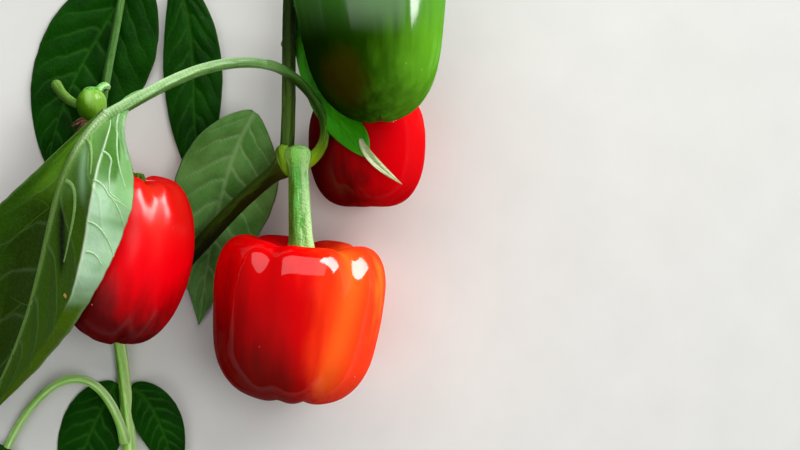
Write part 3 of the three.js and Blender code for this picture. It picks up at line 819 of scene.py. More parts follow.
# Pepper tints: the shade tint is painted shade, the warm tint and the rim tint are painted light, the brown
# patch is painted shade, and the pale tint at the top is a painted highlight
usualPepperTints = {
    "main": tint(214, 0, 4), "shade": tint(122, 2, 4), "warm": tint(248, 54, 16), "rim": tint(250, 102, 28),
    "brownShade": tint(100, 16, 6), "speck": tint(255, 190, 150), "scar": tint(110, 74, 40),
    "pale": tint(255, 255, 255), "litWarmSide": (1.0, 0.0, 0.1), "shadeSide": (-0.8, -0.6, 0.0),
    "shadeFrom": (0.0, 0.8), "litWarmFrom": (0.1, 0.6), "rimFrom": (0.94, 1.15), "litGrooveShow": 0.65,
    "streakCount": 5.0, "streakPull": 0.22, "blotchScale": 35.0, "blotchPull": 0.35, "speckSpacing": 0.009,
    "brownShadePlace": (0.0, 0.0, 0.0), "brownShadeReach": 0.01, "brownShadeShow": 0.0, "topHighlightFrom": (0.0, 1.0),
    "topHighlightShow": 0.0, "roughness": 0.3, "coat": 0.9, "coatRoughness": 0.06, "edgeDulling": 0.92,
    "waxFrom": (-1.0, -0.9), "glow": (1.0, 0.15, 0.05),
}

frontPepper = {
    "middle": (0.0552, -0.06, 0.0386), "lean": 6, "nod": 7,
    "shape": {
        "Width": 0.0842, "Length": 0.0815, "Taper": 0.153, "End Roundness": 0.65,
        "Blossom Side Roundness": 0.72, "Groove Depth": 0.036, "End Groove Depth": 0.12,
        "grooves": [(-19.0, 0.7, 0.75), (36.0, 1.1, 1.0), (105.0, 1.0, 1.0), (178.0, 1.0, 1.0),
                    (-105.0, 1.0, 1.0), (5.0, 0.0, 0.2)],
        "Groove Width": 11.0, "Groove Spread": 20.0, "Groove Shortening": 0.45, "Blossom Groove Share": 0.5,
        "Front Rise": 0.0075, "Front Softness": 0.08, "Stalk Dimple": 0.014, "Blossom Dimple": 0.005,
        "Seed": 3.1,
    },
    "mesh": {"Around": 260, "Rows": 160},
    "cap": {"Cap Share": 0.24},
    "skin": {"reach": 0.04, "brownShadePlace": (-0.012, -0.03, 0.03), "brownShadeReach": 0.03, "brownShadeShow": 0.5},
}
growPepper("frontPepper", frontPepper, stalkGreen, "ripe_skin")

leftPepper = {
    "middle": (-0.0238, -0.0292, 0.0362), "lean": 10, "nod": 5,
    "shape": {
        "Width": 0.0636, "Length": 0.0932, "Taper": 0.03, "End Roundness": 1.0, "Stalk Side Roundness": 0.82,
        "Blossom Side Roundness": 0.86, "Groove Depth": 0.034, "End Groove Depth": 0.11,
        "grooves": [(28.0, 1.0, 1.0), (100.0, 1.0, 1.0), (180.0, 1.0, 1.0), (-60.0, 1.0, 1.0),
                    (62.0, 0.5, 0.6)],
        "Groove Width": 12.0, "Groove Shortening": 0.6, "Stalk Dimple": 0.013, "Seed": 7.3,
    },
    "mesh": {"Around": 180, "Rows": 130},
    "cap": {"Cap Share": 0.1},
    "skin": {
        "main": tint(244, 0, 14), "shade": tint(96, 4, 6), "warm": tint(244, 18, 16),
        "rim": tint(248, 60, 30), "middle": (-0.0227, -0.0293, 0.0362), "reach": 0.036,
        "litWarmSide": (0.3, 0.9, 0.3), "shadeSide": (-0.5, -0.86, 0.0), "shadeFrom": (0.0, 0.9),
        "litWarmFrom": (0.2, 1.2), "rimFrom": (1.0, 1.5), "speckSpacing": 0.011, "coat": 0.7,
        "coatRoughness": 0.24,
    },
}
growPepper("leftPepper", leftPepper, capGreen, "ripe_skin")

greenPepper = {
    "middle": (0.0909, 0.0729, 0.0648), "lean": -4, "nod": -18,
    "shape": {
        "Width": 0.0804, "Length": 0.094, "Taper": 0.358, "End Roundness": 0.53,
        "Stalk Side Roundness": 0.55, "Blossom Side Roundness": 1.18, "Groove Depth": 0.04,
        "End Groove Depth": 0.07,
        "grooves": [(14.0, 1.0, 1.0), (95.0, 1.0, 1.0), (180.0, 1.0, 1.0), (-60.0, 1.0, 1.0)],
        "Groove Width": 16.0, "Blossom Groove Share": 0.35, "Stalk Dimple": 0.01, "Blossom Dimple": 0.002,
        "Ripple Depth": 0.012, "Seed": 5.2,
    },
    "mesh": {"Around": 220, "Rows": 140},
    "cap": {"Cap Share": 0.3},
    "skin": {
        "main": tint(22, 50, 0), "shade": tint(10, 30, 0), "warm": tint(88, 150, 30),
        "rim": tint(120, 186, 84), "brownShade": tint(62, 42, 4), "speck": tint(110, 160, 70),
        "scar": tint(60, 66, 24), "pale": tint(80, 150, 50), "reach": 0.036, "litWarmSide": (0.95, -0.3, 0.0),
        "shadeSide": (-1.0, 0.1, 0.0), "shadeFrom": (-0.1, 0.8), "litWarmFrom": (0.05, 1.0),
        "rimFrom": (0.8, 1.15), "litGrooveShow": 0.0, "brownShadePlace": (-0.012, -0.026, 0.03),
        "brownShadeReach": 0.018, "brownShadeShow": 0.5, "speckSpacing": 0.014, "topHighlightFrom": (0.062, 0.095),
        "topHighlightShow": 0.5, "coatRoughness": 0.12, "waxFrom": (0.064, 0.08), "glow": (0.3, 1.0, 0.1),
    },
}
growPepper("greenPepper", greenPepper, capGreen, "unripe_skin")

rearPepper = {
    "middle": (0.0875, 0.019, 0.0274), "lean": 0, "nod": 0,
    "shape": {
        "Width": 0.0575, "Length": 0.059, "Taper": 0.1, "End Roundness": 0.85, "Stalk Side Roundness": 0.55,
        "End Groove Depth": 0.08,
        "grooves": [(-30.0, 1.0, 1.0), (60.0, 1.0, 1.0), (150.0, 1.0, 1.0), (-120.0, 1.0, 1.0)],
        "Stalk Dimple": 0.008, "Blossom Dimple": 0.003, "Dent Depth": 0.012, "Ripple Depth": 0.003,
        "Seed": 9.4,
    },
    "mesh": {"Around": 160, "Rows": 110},
    "cap": {"Cap Share": 0.24},
    "skin": {
        "main": tint(198, 0, 8), "shade": tint(84, 6, 6), "warm": tint(204, 4, 12), "rim": tint(214, 24, 24),
        "reach": 0.028, "litWarmSide": (0.95, 0.3, 0.1), "shadeSide": (-0.95, -0.3, 0.0),
        "shadeFrom": (-0.3, 0.6), "litWarmFrom": (0.2, 1.0), "litGrooveShow": 0.2, "speckSpacing": 0.012,
        "roughness": 0.34, "coat": 0.22,
    },
}
growPepper("rearPepper", rearPepper, capGreen, "ripe_skin")
print("peppers made")

# Shoots and stalks meet at these places
footCut = (-0.027, -0.1455, 0.0036)
firstFork = (-0.033, -0.0635, 0.0048)
secondFork = (0.05, 0.0105, 0.0418)
thirdFork = (0.058, 0.1325, 0.0458)
leftShootEnd = (-0.026, 0.1295, 0.0088)
leafBend = (0.042, 0.0565, 0.0538)
leftLeafBase = (-0.027, 0.0325, 0.0718)
lowLeafBase = (-0.086, -0.1235, 0.0038)

mainStem = {
    "path": [footCut, (-0.0266, -0.1185, 0.0036), (-0.0291, -0.0915, 0.0034), firstFork],
    "Start Radius": 0.0035, "End Radius": 0.0027, "End Swell": 0.0016, "Start Dome": 0.05, "Seed": 2.0,
    "Rows": 160,
}
growLimb("mainStem", mainStem, greenShoot, "shoot_skin")
leftShoot = {
    "path": [firstFork, (-0.063, -0.0085, 0.0033), (-0.029, 0.0685, 0.0068), leftShootEnd],
    "Start Radius": 0.0026, "End Radius": 0.0018, "Start Swell": 0.0008, "End Swell": 0.0006, "Seed": 3.0,
    "Rows": 200,
}
growLimb("leftShoot", leftShoot, leftShootSkin, "shoot_skin")
rightShootLower = {
    "path": [firstFork, (0.001, -0.0385, -0.0002), (0.019, -0.0095, 0.0308), secondFork],
    "Start Radius": 0.0038, "End Radius": 0.0037, "End Swell": 0.0018, "Ridge Depth": 0.07, "End Dome": 0.6,
    "Seed": 4.0, "Rows": 240,
}
growLimb("rightShootLower", rightShootLower, darkShoot, "shoot_skin")
rightShootUpper = {
    "path": [secondFork, (0.054, 0.0515, 0.0418), (0.048, 0.0925, 0.0438), thirdFork],
    "Start Radius": 0.0032, "End Radius": 0.0027, "Start Swell": 0.002, "End Swell": 0.0014,
    "Ridge Depth": 0.09, "Twist": 0.2, "Start Dome": 0.6, "Seed": 5.0, "Rows": 240,
}
growLimb("rightShootUpper", rightShootUpper, upperShoot, "shoot_skin")

# The swollen joint beside the head of the front pepper's stalk
forkNode = {
    "path": [(0.0492, 0.0175, 0.0445), (0.0492, 0.0145, 0.0458), (0.0502, 0.0115, 0.0458),
             (0.0522, 0.0085, 0.0445)],
    "Start Radius": 0.0034, "End Radius": 0.003, "Start Dome": 0.9, "End Dome": 0.9, "Ridge Depth": 0.05,
    "Rind Depth": 0.08, "Rows": 60,
}
forkSkin = rindSkin("forkSkin", (60, 86, 12), (112, 156, 20), (156, 204, 60))
growLimb("forkNode", forkNode, forkSkin, "shoot_skin", "right_shoot_upper")

frontPepperStalk = {
    "path": [(0.0566, 0.0156, 0.0488), (0.0569, 0.0055, 0.0498), (0.0572, -0.0125, 0.0468),
             (0.0578, -0.0285, 0.0433)],
    "Start Radius": 0.0044, "End Radius": 0.0056, "Start Swell": 0.0018, "End Swell": 0.0008,
    "Ridge Depth": 0.05, "Twist": 0.05, "Start Dome": 0.75, "Rind Depth": 0.03, "Seed": 6.0, "Around": 84,
    "Rows": 230,
}
growLimb("frontPepperStalk", frontPepperStalk, stalkGreen, "stalk_skin")
leftPepperStalk = {
    "path": [(-0.042, 0.0235, 0.0051), (-0.052, 0.0275, 0.0198), (-0.044, 0.0275, 0.0378),
             (-0.024, 0.0065, 0.0398)],
    "End Radius": 0.0034, "Start Swell": 0.001, "End Swell": 0.0012, "Seed": 7.0,
}
growLimb("leftPepperStalk", leftPepperStalk, capGreen, "stalk_skin")
greenPepperStalk = {
    "path": [thirdFork, (0.076, 0.1355, 0.0458), (0.0875, 0.1215, 0.0488), (0.089, 0.1045, 0.0543)],
    "Start Radius": 0.0034, "End Radius": 0.0042, "Start Swell": 0.001, "End Swell": 0.004, "Seed": 8.0,
}
growLimb("greenPepperStalk", greenPepperStalk, stalkGreen, "stalk_skin")
rearPepperStalk = {
    "path": [(0.051, 0.0675, 0.0408), (0.06, 0.0655, 0.0238), (0.087, 0.0635, 0.0258),
             (0.0875, 0.0405, 0.0274)],
    "Start Radius": 0.0024, "Start Swell": 0.001, "End Swell": 0.0035, "Seed": 9.0,
}
growLimb("rearPepperStalk", rearPepperStalk, capGreen, "stalk_skin")
leftLeafStalkInner = {
    "path": [(0.056, 0.0105, 0.0458), (0.084, 0.0205, 0.0558), (0.06, 0.0545, 0.0508), leafBend],
    "Start Radius": 0.0018, "End Radius": 0.0023, "Start Swell": 0.0014, "Swell Reach": 0.014,
    "Channel Depth": 0.2, "End Dome": 0.6, "Seed": 10.0, "Rows": 160,
}
growLimb("leftLeafStalkInner", leftLeafStalkInner, bentStalkGreen, "stalk_skin")
leftLeafStalkOuter = {
    "path": [leafBend, (0.017, 0.0605, 0.0608), (-0.005, 0.0445, 0.0718), leftLeafBase],
    "Start Radius": 0.0023, "Channel Depth": 0.25, "Channel Turn": 60.0, "Cross Depth": 0.02,
    "Start Dome": 0.6, "End Dome": 0.8, "Seed": 11.0, "Around": 64, "Rows": 280,
}
growLimb("leftLeafStalkOuter", leftLeafStalkOuter, leafStalkGreen, "stalk_skin")
lowLeafStalk = {
    "path": [(-0.029, -0.1205, 0.0053), (-0.038, -0.0715, 0.0258),
             (-0.069, -0.0875, 0.0058), lowLeafBase],
    "Start Radius": 0.0022, "End Radius": 0.0018, "Start Swell": 0.0008, "Channel Depth": 0.2, "Seed": 12.0,
    "Rows": 200,
}
growLimb("lowLeafStalk", lowLeafStalk, brightStalkGreen, "stalk_skin")
print("shoots and stalks made")

# Leaves. A leaf whose underside is out of sight keeps two plain tints there.
plainUnder = ("under", "underInner", "innerStart", "innerHighlight", "flap", "flapEnd", "flapStart", "flapRim")
plainUnderDark = ("underDark", "leftStart", "flapDark")
usualLeafTints = {
    **{label: tint(70, 104, 40) for label in plainUnder},
    **{label: tint(56, 88, 30) for label in plainUnderDark},
    "upper": tint(40, 96, 16), "upperDark": tint(24, 72, 10), "hollowShadow": tint(12, 22, 4),
    "vein": tint(110, 150, 80), "crestHighlight": tint(204, 228, 190), "veinShow": 0.5, "crestHighlightShow": 0.0,
    "highlightShow": 0.0, "hollowShadowShow": 0.0, "rimShow": 0.0, "marginShow": 0.2, "netShow": 0.06, "netLift": 0.4,
    "netCell": 0.0028, "leftStartSpan": (0.19, 0.3), "innerStartSpan": (0.03, 0.24),
    "flapStartSpan": (0.08, 0.23), "flapSpan": (0.38, 0.52), "rimSpan": (0.8, 0.86),
    "rimEndSpan": (0.16, 0.26), "highlightBand": (2.6, 0.14, (0.07, 0.12), (0.15, 0.23)),
    "hollowShadowBand": (1.9, 0.367, (0.23, 0.27), (0.36, 0.42)), "roughness": 0.4, "shine": 0.3,
    "blotchScale": 60.0,
}


# A leaf skin that differs from the usual one in its upper side and its veins
def bladeTints(upper, upperDark, vein=(110, 150, 80), **changes):
    tints = {"upper": tint(*upper), "upperDark": tint(*upperDark), "vein": tint(*vein)}
    return {**usualLeafTints, **tints, **changes}


# The left leaf shows its underside. Its dark tints on the left half and the inner strip are painted shade,
# its pale flap tint a lit copy of the same tissue; the crest and a band of the inner strip carry painted
# highlights, and the hollow a painted shadow.
leftLeafSkin = leafSkin("leftLeafSkin", {
    **usualLeafTints, "under": tint(46, 86, 4), "underDark": tint(38, 64, 1), "underInner": tint(54, 88, 6),
    "innerStart": tint(104, 156, 76), "leftStart": tint(78, 124, 20), "innerHighlight": tint(168, 216, 166),
    "flap": tint(178, 214, 178), "flapDark": tint(150, 194, 144), "flapEnd": tint(70, 100, 4),
    "flapStart": tint(66, 118, 36), "flapRim": tint(128, 178, 112), "hollowShadow": tint(8, 16, 3),
    "vein": tint(168, 202, 148), "crestHighlight": tint(214, 236, 200), "veinShow": 0.1, "crestHighlightShow": 0.8,
    "highlightShow": 0.55, "hollowShadowShow": 0.95, "rimShow": 0.7, "rimSpan": (0.72, 0.78),
    "flapSpan": (0.375, 0.465), "netShow": 0.03, "netLift": 0.2, "roughness": 0.5, "shine": 0.06})
# a deep green darkened further as painted shade, for the low leaves
shadedLeafSkin = leafSkin("shadedLeafSkin", bladeTints((14, 66, 1), (8, 48, 1), (48, 106, 26), shine=0.06))
# a vivid green raised as painted light, where the green pepper shades the narrow leaf
vividLeafSkin = leafSkin("vividLeafSkin", bladeTints(
    (52, 152, 0), (44, 134, 0), (84, 176, 16), veinShow=0.2, shine=0.12))
paleLeafSkin = leafSkin("paleLeafSkin", bladeTints(
    (98, 150, 74), (66, 120, 44), (150, 190, 126), shine=0.15))
paleTipSkin = leafSkin("paleTipSkin", bladeTints((168, 178, 128), (138, 154, 98), (200, 206, 160)))
youngLeafSkin = leafSkin("youngLeafSkin", bladeTints((74, 138, 30), (54, 112, 20), (150, 190, 90)))

leftLeaf = {
    "path": [leftLeafBase, (-0.0622, 0.0, 0.0798), (-0.0446, -0.04, 0.0598), (-0.1045, -0.118, 0.0028)],
    "Half": (0.042, 0.036), "Widest": (0.524, 0.242), "Sharpness": (2.01, 1.337), "Crease": (0.42, 0.73),
    "Crease Spread": 0.5, "Crease Softness": 0.06, "Inner": (-34.0, 38.0), "Outer": (12.0, -20.0),
    "Wave": 0.0012, "Root": (0.004, 0.0047), "Underside Up": 1.0, "Vein Count": 7.0, "Vein Bend": 0.24,
    "Vein Width": 0.0007, "Rib Width": 0.0024, "Rib Lift": 0.001, "Quilt": 0.0009, "Margin Wobble": 0.12,
    "Columns": 150, "Rows": 220,
}
leftLeafPiece = growLeaf("leftLeaf", leftLeaf, leftLeafSkin)
narrowLeaf = {
    "path": [(0.0545, 0.0845, 0.0458), (0.0553, 0.0671, 0.0265), (0.0672, 0.0398, 0.056),
             (0.0877, 0.0143, 0.0587)],
    "Half": (0.0072, 0.0074), "Widest": (0.66, 0.84), "Sharpness": (0.8, 0.7), "Inner": (8.0, -5.0),
    "Outer": (-10.0, -14.0), "Wave": 0.0004, "Quilt": 0.0001, "Vein Lift": 0.0002, "Vein Width": 0.0004,
    "Rib Lift": 0.0004,
}
growLeaf("narrowLeaf", narrowLeaf, vividLeafSkin)
narrowLeafTip = {
    "path": [(0.0852, 0.0228, 0.0578), (0.0862, 0.0155, 0.0605), (0.0945, 0.0085, 0.0585),
             (0.104, 0.002, 0.0535)],
    "Half": (0.0016, 0.0019), "Root": (0.0007, 0.0006), "Widest": (0.36, 0.42), "Inner": (35.0, 12.0),
    "Outer": (5.0, -12.0), "Wave": 0.0012, "Quilt": 0.0, "Vein Lift": 0.0, "Rib Lift": 0.0003,
    "Rib Width": 0.0004, "Columns": 30, "Rows": 80,
}
growLeaf("narrowLeafTip", narrowLeafTip, paleTipSkin, "narrow_leaf")
darkLeafUpper = {
    "path": [(-0.022, 0.1085, 0.0068), (-0.039, 0.0775, 0.0008), (-0.061, 0.0535, 0.0012),
             (-0.067, 0.0115, 0.001)],
    "Half": (0.022, 0.03), "Widest": 0.45, "Wave": 0.0006, "Seed": 2.0, "Columns": 90, "Rows": 140,
}
growLeaf("darkLeafUpper", darkLeafUpper, shadedLeafSkin)
darkLeafMiddle = {
    "path": [(-0.005, 0.1035, 0.0078), (0.009, 0.0725, 0.0038), (-0.001, 0.0345, 0.0038),
             (0.009, -0.0045, 0.0028)],
    "Half": 0.013, "Widest": 0.45, "Inner": 6.0, "Outer": -4.0,
    "Wave": 0.0006, "Seed": 3.0,
}
growLeaf("darkLeafMiddle", darkLeafMiddle, shadedLeafSkin)
paleLeaf = {
    "path": [(0.035, 0.0365, 0.0268), (0.023, 0.0195, 0.0198), (0.014, -0.0065, 0.0058),
             (0.006, -0.0645, 0.0028)],
    "Half": (0.022, 0.024), "Widest": (0.4, 0.36), "Sharpness": 1.1, "Outer": -2.0,
    "Seed": 4.0,
}
growLeaf("paleLeaf", paleLeaf, paleLeafSkin)
lowLeaf = {
    "path": [lowLeafBase, (-0.095, -0.1385, 0.0098), (-0.111, -0.1585, 0.0058),
             (-0.119, -0.1825, 0.0028)],
    "Half": 0.022, "Inner": -4.0, "Outer": -6.0, "Seed": 5.0,
}
growLeaf("lowLeaf", lowLeaf, shadedLeafSkin)
footLeafLeft = {
    "path": [(-0.034, -0.0925, 0.0023), (-0.039, -0.1025, 0.0018), (-0.051, -0.1205, 0.0016),
             (-0.056, -0.1515, 0.0013)],
    "Half": 0.014, "Outer": -4.0, "Wave": 0.0005, "Quilt": 0.0003, "Seed": 6.0,
}
growLeaf("footLeafLeft", footLeafLeft, shadedLeafSkin)
footLeafRight = {
    "path": [(-0.0265, -0.0955, 0.0038), (-0.017, -0.0975, 0.0078), (-0.01, -0.1145, 0.0058),
             (-0.004, -0.1395, 0.0028)],
    "Half": 0.01, "Widest": 0.42, "Outer": -6.0, "Wave": 0.0004, "Quilt": 0.0003,
    "Seed": 7.0,
}
growLeaf("footLeafRight", footLeafRight, shadedLeafSkin)
topLeaf = {
    "path": [(0.062, 0.1345, 0.0498), (0.078, 0.1455, 0.0618), (0.099, 0.1675, 0.0638),
             (0.125, 0.1635, 0.0498)],
    "Half": 0.017, "Widest": 0.42, "Inner": 14.0, "Outer": -8.0,
    "Seed": 8.0,
}
growLeaf("topLeaf", topLeaf, vividLeafSkin)

# The left leaf's thick midrib goes on from its stalk, and a strip of blade runs down beside the stalk
leftLeafMidrib = {
    "path": leftLeaf["path"], "Start Radius": 0.0031, "End Radius": 0.0005, "Taper Power": 0.52,
    "Start Dome": 0.5, "Cross Depth": 0.045, "Ridge Depth": 0.04, "Seed": 13.0, "Around": 44, "Rows": 380,
}
growLimb("leftLeafMidrib", leftLeafMidrib, midribSkin, "stalk_skin", "left_leaf")
stalkWing = {
    "path": [(-0.002, 0.0452, 0.069), (-0.0261, 0.04, 0.0725), (-0.0247, 0.0256, 0.0762),
             (-0.0159, 0.0008, 0.0752)],
    "Half": (0.004, 0.0024), "Widest": (0.6, 0.66), "Root": (0.001, 0.0008), "Inner": (0.0, 4.0),
    "Outer": (0.0, -14.0), "Underside Up": 1.0, "Wave": 0.0006, "Quilt": 0.0, "Vein Lift": 0.0,
    "Rib Lift": 0.0, "Rib Width": 0.0004, "Margin Wobble": 0.35, "Columns": 30, "Rows": 180,
}
wingLabels = ("under", "underDark", "underInner", "flap", "flapDark", "flapStart")
stalkWingSkin = leafSkin("stalkWingSkin", {
    **usualLeafTints, **{label: tint(116, 168, 94) for label in wingLabels}, "flapEnd": tint(140, 182, 130),
    "veinShow": 0.1})
stalkWingPiece = growLeaf("stalkWing", stalkWing, stalkWingSkin, "left_leaf_stalk_outer")

# Raised veins of the left leaf, each with four places in plan. A vein has its kind's first and last
# radius, unless it has its own.
innerVeins = {
    "InnerUpper": [(-0.0371, 0.0221), (-0.0336, 0.0208), (-0.0327, 0.0146), (-0.0332, 0.0057)],
    "InnerLong": [(-0.0454, 0.0031), (-0.0368, 0.0008), (-0.0416, -0.0165), (-0.0472, -0.033)],
}
flapVeins = {
    "FlapOuter": [(-0.0225, 0.0268), (-0.0229, 0.0184), (-0.0219, 0.0095), (-0.0184, 0.0003)],
    "FlapMiddle": [(-0.0282, 0.0158), (-0.0268, 0.0159), (-0.0239, 0.0135), (-0.0246, 0.0104)],
    "FlapMiddleLow": [(-0.0246, 0.0104), (-0.0254, 0.0073), (-0.0252, 0.0042), (-0.025, -0.0018)],
    "FlapMiddleEnd": [(-0.025, -0.0018), (-0.0241, -0.0035), (-0.0223, -0.0041), (-0.0201, -0.0063)],
    "FlapLow": [(-0.0316, 0.0031), (-0.0285, 0.0029), (-0.0268, -0.0002), (-0.0252, -0.0033)],
    "FlapLowEnd": [(-0.0252, -0.0033), (-0.0232, -0.0055), (-0.0206, -0.0063), (-0.0177, -0.0086)],
    "FlapLowBranch": [(-0.0241, -0.0046), (-0.0217, -0.0072), (-0.0201, -0.0112), (-0.0188, -0.0174)],
    "FlapArc": [(-0.0343, -0.015), (-0.0299, -0.0156), (-0.0259, -0.0214), (-0.0239, -0.0311)],
    "FlapEnd": [(-0.0356, -0.0282), (-0.0329, -0.0282), (-0.0307, -0.0302), (-0.0294, -0.0342)],
}
wingVeins = {
    "WingLine": [(-0.0204, 0.0359), (-0.0235, 0.0323), (-0.0231, 0.0248), (-0.0225, 0.0227)],
}
# these lie on the left half and share its painted shade
shadedVeins = {
    "LeftScallop": [(-0.053, -0.0088), (-0.0557, -0.0092), (-0.0576, -0.0025), (-0.0648, -0.0052)],
    "LeftLong": [(-0.054, -0.0088), (-0.0638, -0.0142), (-0.0716, -0.0215), (-0.0798, -0.0288)],
    "LowFork": [(-0.066, -0.0539), (-0.069, -0.053), (-0.0727, -0.053), (-0.0782, -0.0493)],
    "LowEdge": [(-0.0715, -0.053), (-0.0755, -0.0558), (-0.0782, -0.0576), (-0.0819, -0.059)],
    "TailArc": [(-0.0785, -0.0745), (-0.0765, -0.0763), (-0.0775, -0.0815), (-0.0821, -0.089)],
}
ownRadii = {
    "FlapMiddle": (0.0006, 0.0005), "FlapMiddleLow": (0.0005, 0.0004), "FlapMiddleEnd": (0.0004, 0.0002),
    "FlapLow": (0.0006, 0.0005), "FlapLowEnd": (0.0005, 0.0002), "FlapLowBranch": (0.0004, 0.0002),
}
for veins, radii, skin, blade in [
        (innerVeins, (0.0012, 0.0004), veinSkin, leftLeafPiece),
        (flapVeins, (0.0006, 0.0003), paleVeinSkin, leftLeafPiece),
        (wingVeins, (0.0006, 0.0005), paleVeinSkin, stalkWingPiece),
        (shadedVeins, (0.0005, 0.0002), shadedVeinSkin, leftLeafPiece)]:
    for name, plan in veins.items():
        first, last = ownRadii.get(name, radii)
        values = {"path": [(x, y, 0.0) for x, y in plan], "Start Radius": first, "End Radius": last,
                  "Sink": -0.25, "Object": blade}
        settle(growPiece("leftLeafVein" + name, veinTree, values, skin), "leaf_blade", "left_leaf")

# A small dry fleck, laid on the left leaf from above
fleck = {
    "Half": 0.0007, "Root": 0.0003, "Inner": (30.0, -20.0), "Quilt": 0.0,
    "Vein Lift": 0.0, "Rib Lift": 0.0, "Thickness": 0.0003, "Wave": 0.0004, "Columns": 20, "Rows": 20,
}
fleckPlan = [(-0.0475, -0.0472), (-0.0471, -0.0478), (-0.0468, -0.0486), (-0.0468, -0.0494)]
fleckLift = 0.0004
graph = bpy.context.evaluated_depsgraph_get()
fleckPath = []
for x, y in fleckPlan:
    _, spot, _, _ = leftLeafPiece.ray_cast(Vector((x, y, 0.2)), Vector((0.0, 0.0, -1.0)), depsgraph=graph)
    fleckPath.append((x, y, spot.z + fleckLift))
fleckSkin = leafSkin("fleckSkin", bladeTints((226, 132, 50), (190, 92, 30)))
growLeaf("leafFleck", {**fleck, "path": fleckPath}, fleckSkin, "left_leaf")
print("leaves made")


# A growing tip: young leaves turn round the shoot by the golden angle and get shorter to its end
def makeTipTree():
    usual = {**usualPath, "Leaf Count": 8, "Leaf Length": 0.042, "First Turn": 20.0, "First Place": 0.3,
             "Last Place": 0.95, "Shortening": 0.55, "Forward": 0.75, "Flattening": 0.45, "Lift": 0.25}
    tree, pins = startTree("growingTip", usual)
    goldenAngle = 137.5
    curve, _ = startPath(tree, pins)
    index = fieldFrom(tree, "GeometryNodeInputIndex")
    order = index / (pins["Leaf Count"] - 1.0)
    turn = (index * goldenAngle + pins["First Turn"]).math("RADIANS")
    share = pins["First Place"] + (pins["Last Place"] - pins["First Place"]) * order
    place, _, _ = alongPath(tree, curve, share)
    climb = turn.math("SINE") * pins["Flattening"] + pins["Lift"]
    outward = joined(tree, turn.math("COSINE"), pins["Forward"], climb)
    facing = addNode(tree, "FunctionNodeAlignRotationToVector", {"Vector": outward}, axis="Y")
    inputs = {"Rotation": facing.outputs[0], "Vector": (0.0, 0.0, 1.0)}
    upright = addNode(tree, "FunctionNodeAlignRotationToVector", inputs, axis="Z", pivot_axis="Y")
    length = pins["Leaf Length"]
    half = length * 0.2
    leaf = addNode(tree, "GeometryNodeGroup", node_tree=leafTree)
    leafValues = inputValues({
        "path": [(0.0, 0.0, 0.0), joined(tree, 0.0, length * 0.35, 0.0),
                 joined(tree, 0.0, length * 0.7, 0.002), joined(tree, 0.0, length, -0.003)],
        "Half": half, "Widest": 0.45, "Inner": 16.0, "Outer": -4.0,
        "Wave": 0.0003, "Root": 0.0008, "Vein Width": 0.0004, "Vein Lift": 0.0002,
        "Rib Width": 0.0007, "Rib Lift": 0.0006, "Quilt": 0.0002, "Columns": 24, "Rows": 36,
        "Material": pins["Material"]})
    for label, value in leafValues.items():
        plug(tree, value, leaf.inputs[label])
    points = addNode(tree, "GeometryNodePoints", {"Count": pins["Leaf Count"], "Position": place})
    sized = 1.0 - pins["Shortening"] * order
    grown = addNode(tree, "GeometryNodeInstanceOnPoints", {
        "Points": points.outputs[0], "Instance": leaf.outputs[0], "Rotation": upright.outputs[0],
        "Scale": joined(tree, sized, sized, sized)})
    return finishTree(tree, grown.outputs[0], pins["Material"])


tipTree = makeTipTree()
leftTip = {
    "path": [leftShootEnd, (-0.025, 0.1415, 0.0088), (-0.024, 0.1555, 0.0108), (-0.023, 0.1655, 0.0138)],
    "Start Radius": 0.0018, "End Radius": 0.0009, "Leaf Length": 0.041, "First Turn": 20.0,
}
rightTip = {
    "path": [thirdFork, (0.058, 0.1455, 0.0478), (0.062, 0.1595, 0.0498), (0.066, 0.1715, 0.0538)],
    "Start Radius": 0.0024, "End Radius": 0.001, "Leaf Length": 0.044, "First Turn": 165.0,
}
growLimb("leftTipShoot", leftTip, leftShootSkin, "shoot_skin", "left_tip")
growLimb("rightTipShoot", rightTip, darkShoot, "shoot_skin", "right_tip")
for name, values in (("leftTip", leftTip), ("rightTip", rightTip)):
    settle(growPiece(name + "Leaves", tipTree, values, youngLeafSkin), "leaf_blade", nodeOf(name))
print("growing tips made")

# The young fruit, its stalk, the thick stub beside it, and what is left of its dried flower
youngFruit = {
    "middle": (-0.044, 0.0405, 0.0128), "lean": 0, "nod": 0,
    "shape": {
        "Width": 0.0152, "Length": 0.0174, "Taper": 0.1, "End Roundness": 1.0, "Stalk Side Roundness": 0.9,
        "Blossom Side Roundness": 0.9, "Groove Depth": 0.02, "End Groove Depth": 0.05,
        "Stalk Dimple": 0.0008, "Blossom Dimple": 0.0004, "Seed": 2.2,
    },
    "mesh": {"Around": 80, "Rows": 60},
    "cap": {"Thickness": 0.0005, "Cap Share": 0.5},
    "skin": {
        "main": tint(78, 132, 10), "shade": tint(48, 92, 4), "warm": tint(126, 178, 60),
        "rim": tint(160, 206, 110), "reach": 0.008, "litWarmSide": (0.7, 0.6, 0.4), "blotchScale": 120.0,
        "roughness": 0.35, "coat": 0.3, "glow": (0.3, 1.0, 0.1),
    },
}
growPepper("youngFruit", youngFruit, stalkGreen, "unripe_skin")
youngFruitStalk = {
    "path": [(-0.0375, 0.0495, 0.0058), (-0.038, 0.0515, 0.0098), (-0.041, 0.0495, 0.0118),
             (-0.044, 0.0435, 0.0128)],
    "Start Radius": 0.0016, "End Radius": 0.0022, "Rows": 60,
}
growLimb("youngFruitStalk", youngFruitStalk, stalkGreen, "stalk_skin", "young_fruit")
flowerStub = {
    "path": [(-0.049, 0.0405, 0.0128), (-0.054, 0.0415, 0.0128), (-0.058, 0.0455, 0.0128),
             (-0.061, 0.0505, 0.0118)],
    "Start Radius": 0.0018, "End Radius": 0.0026, "Start Dome": 0.5, "End Dome": 0.9, "Rows": 60,
}
growLimb("flowerStub", flowerStub, capGreen, "stalk_skin", "young_fruit")
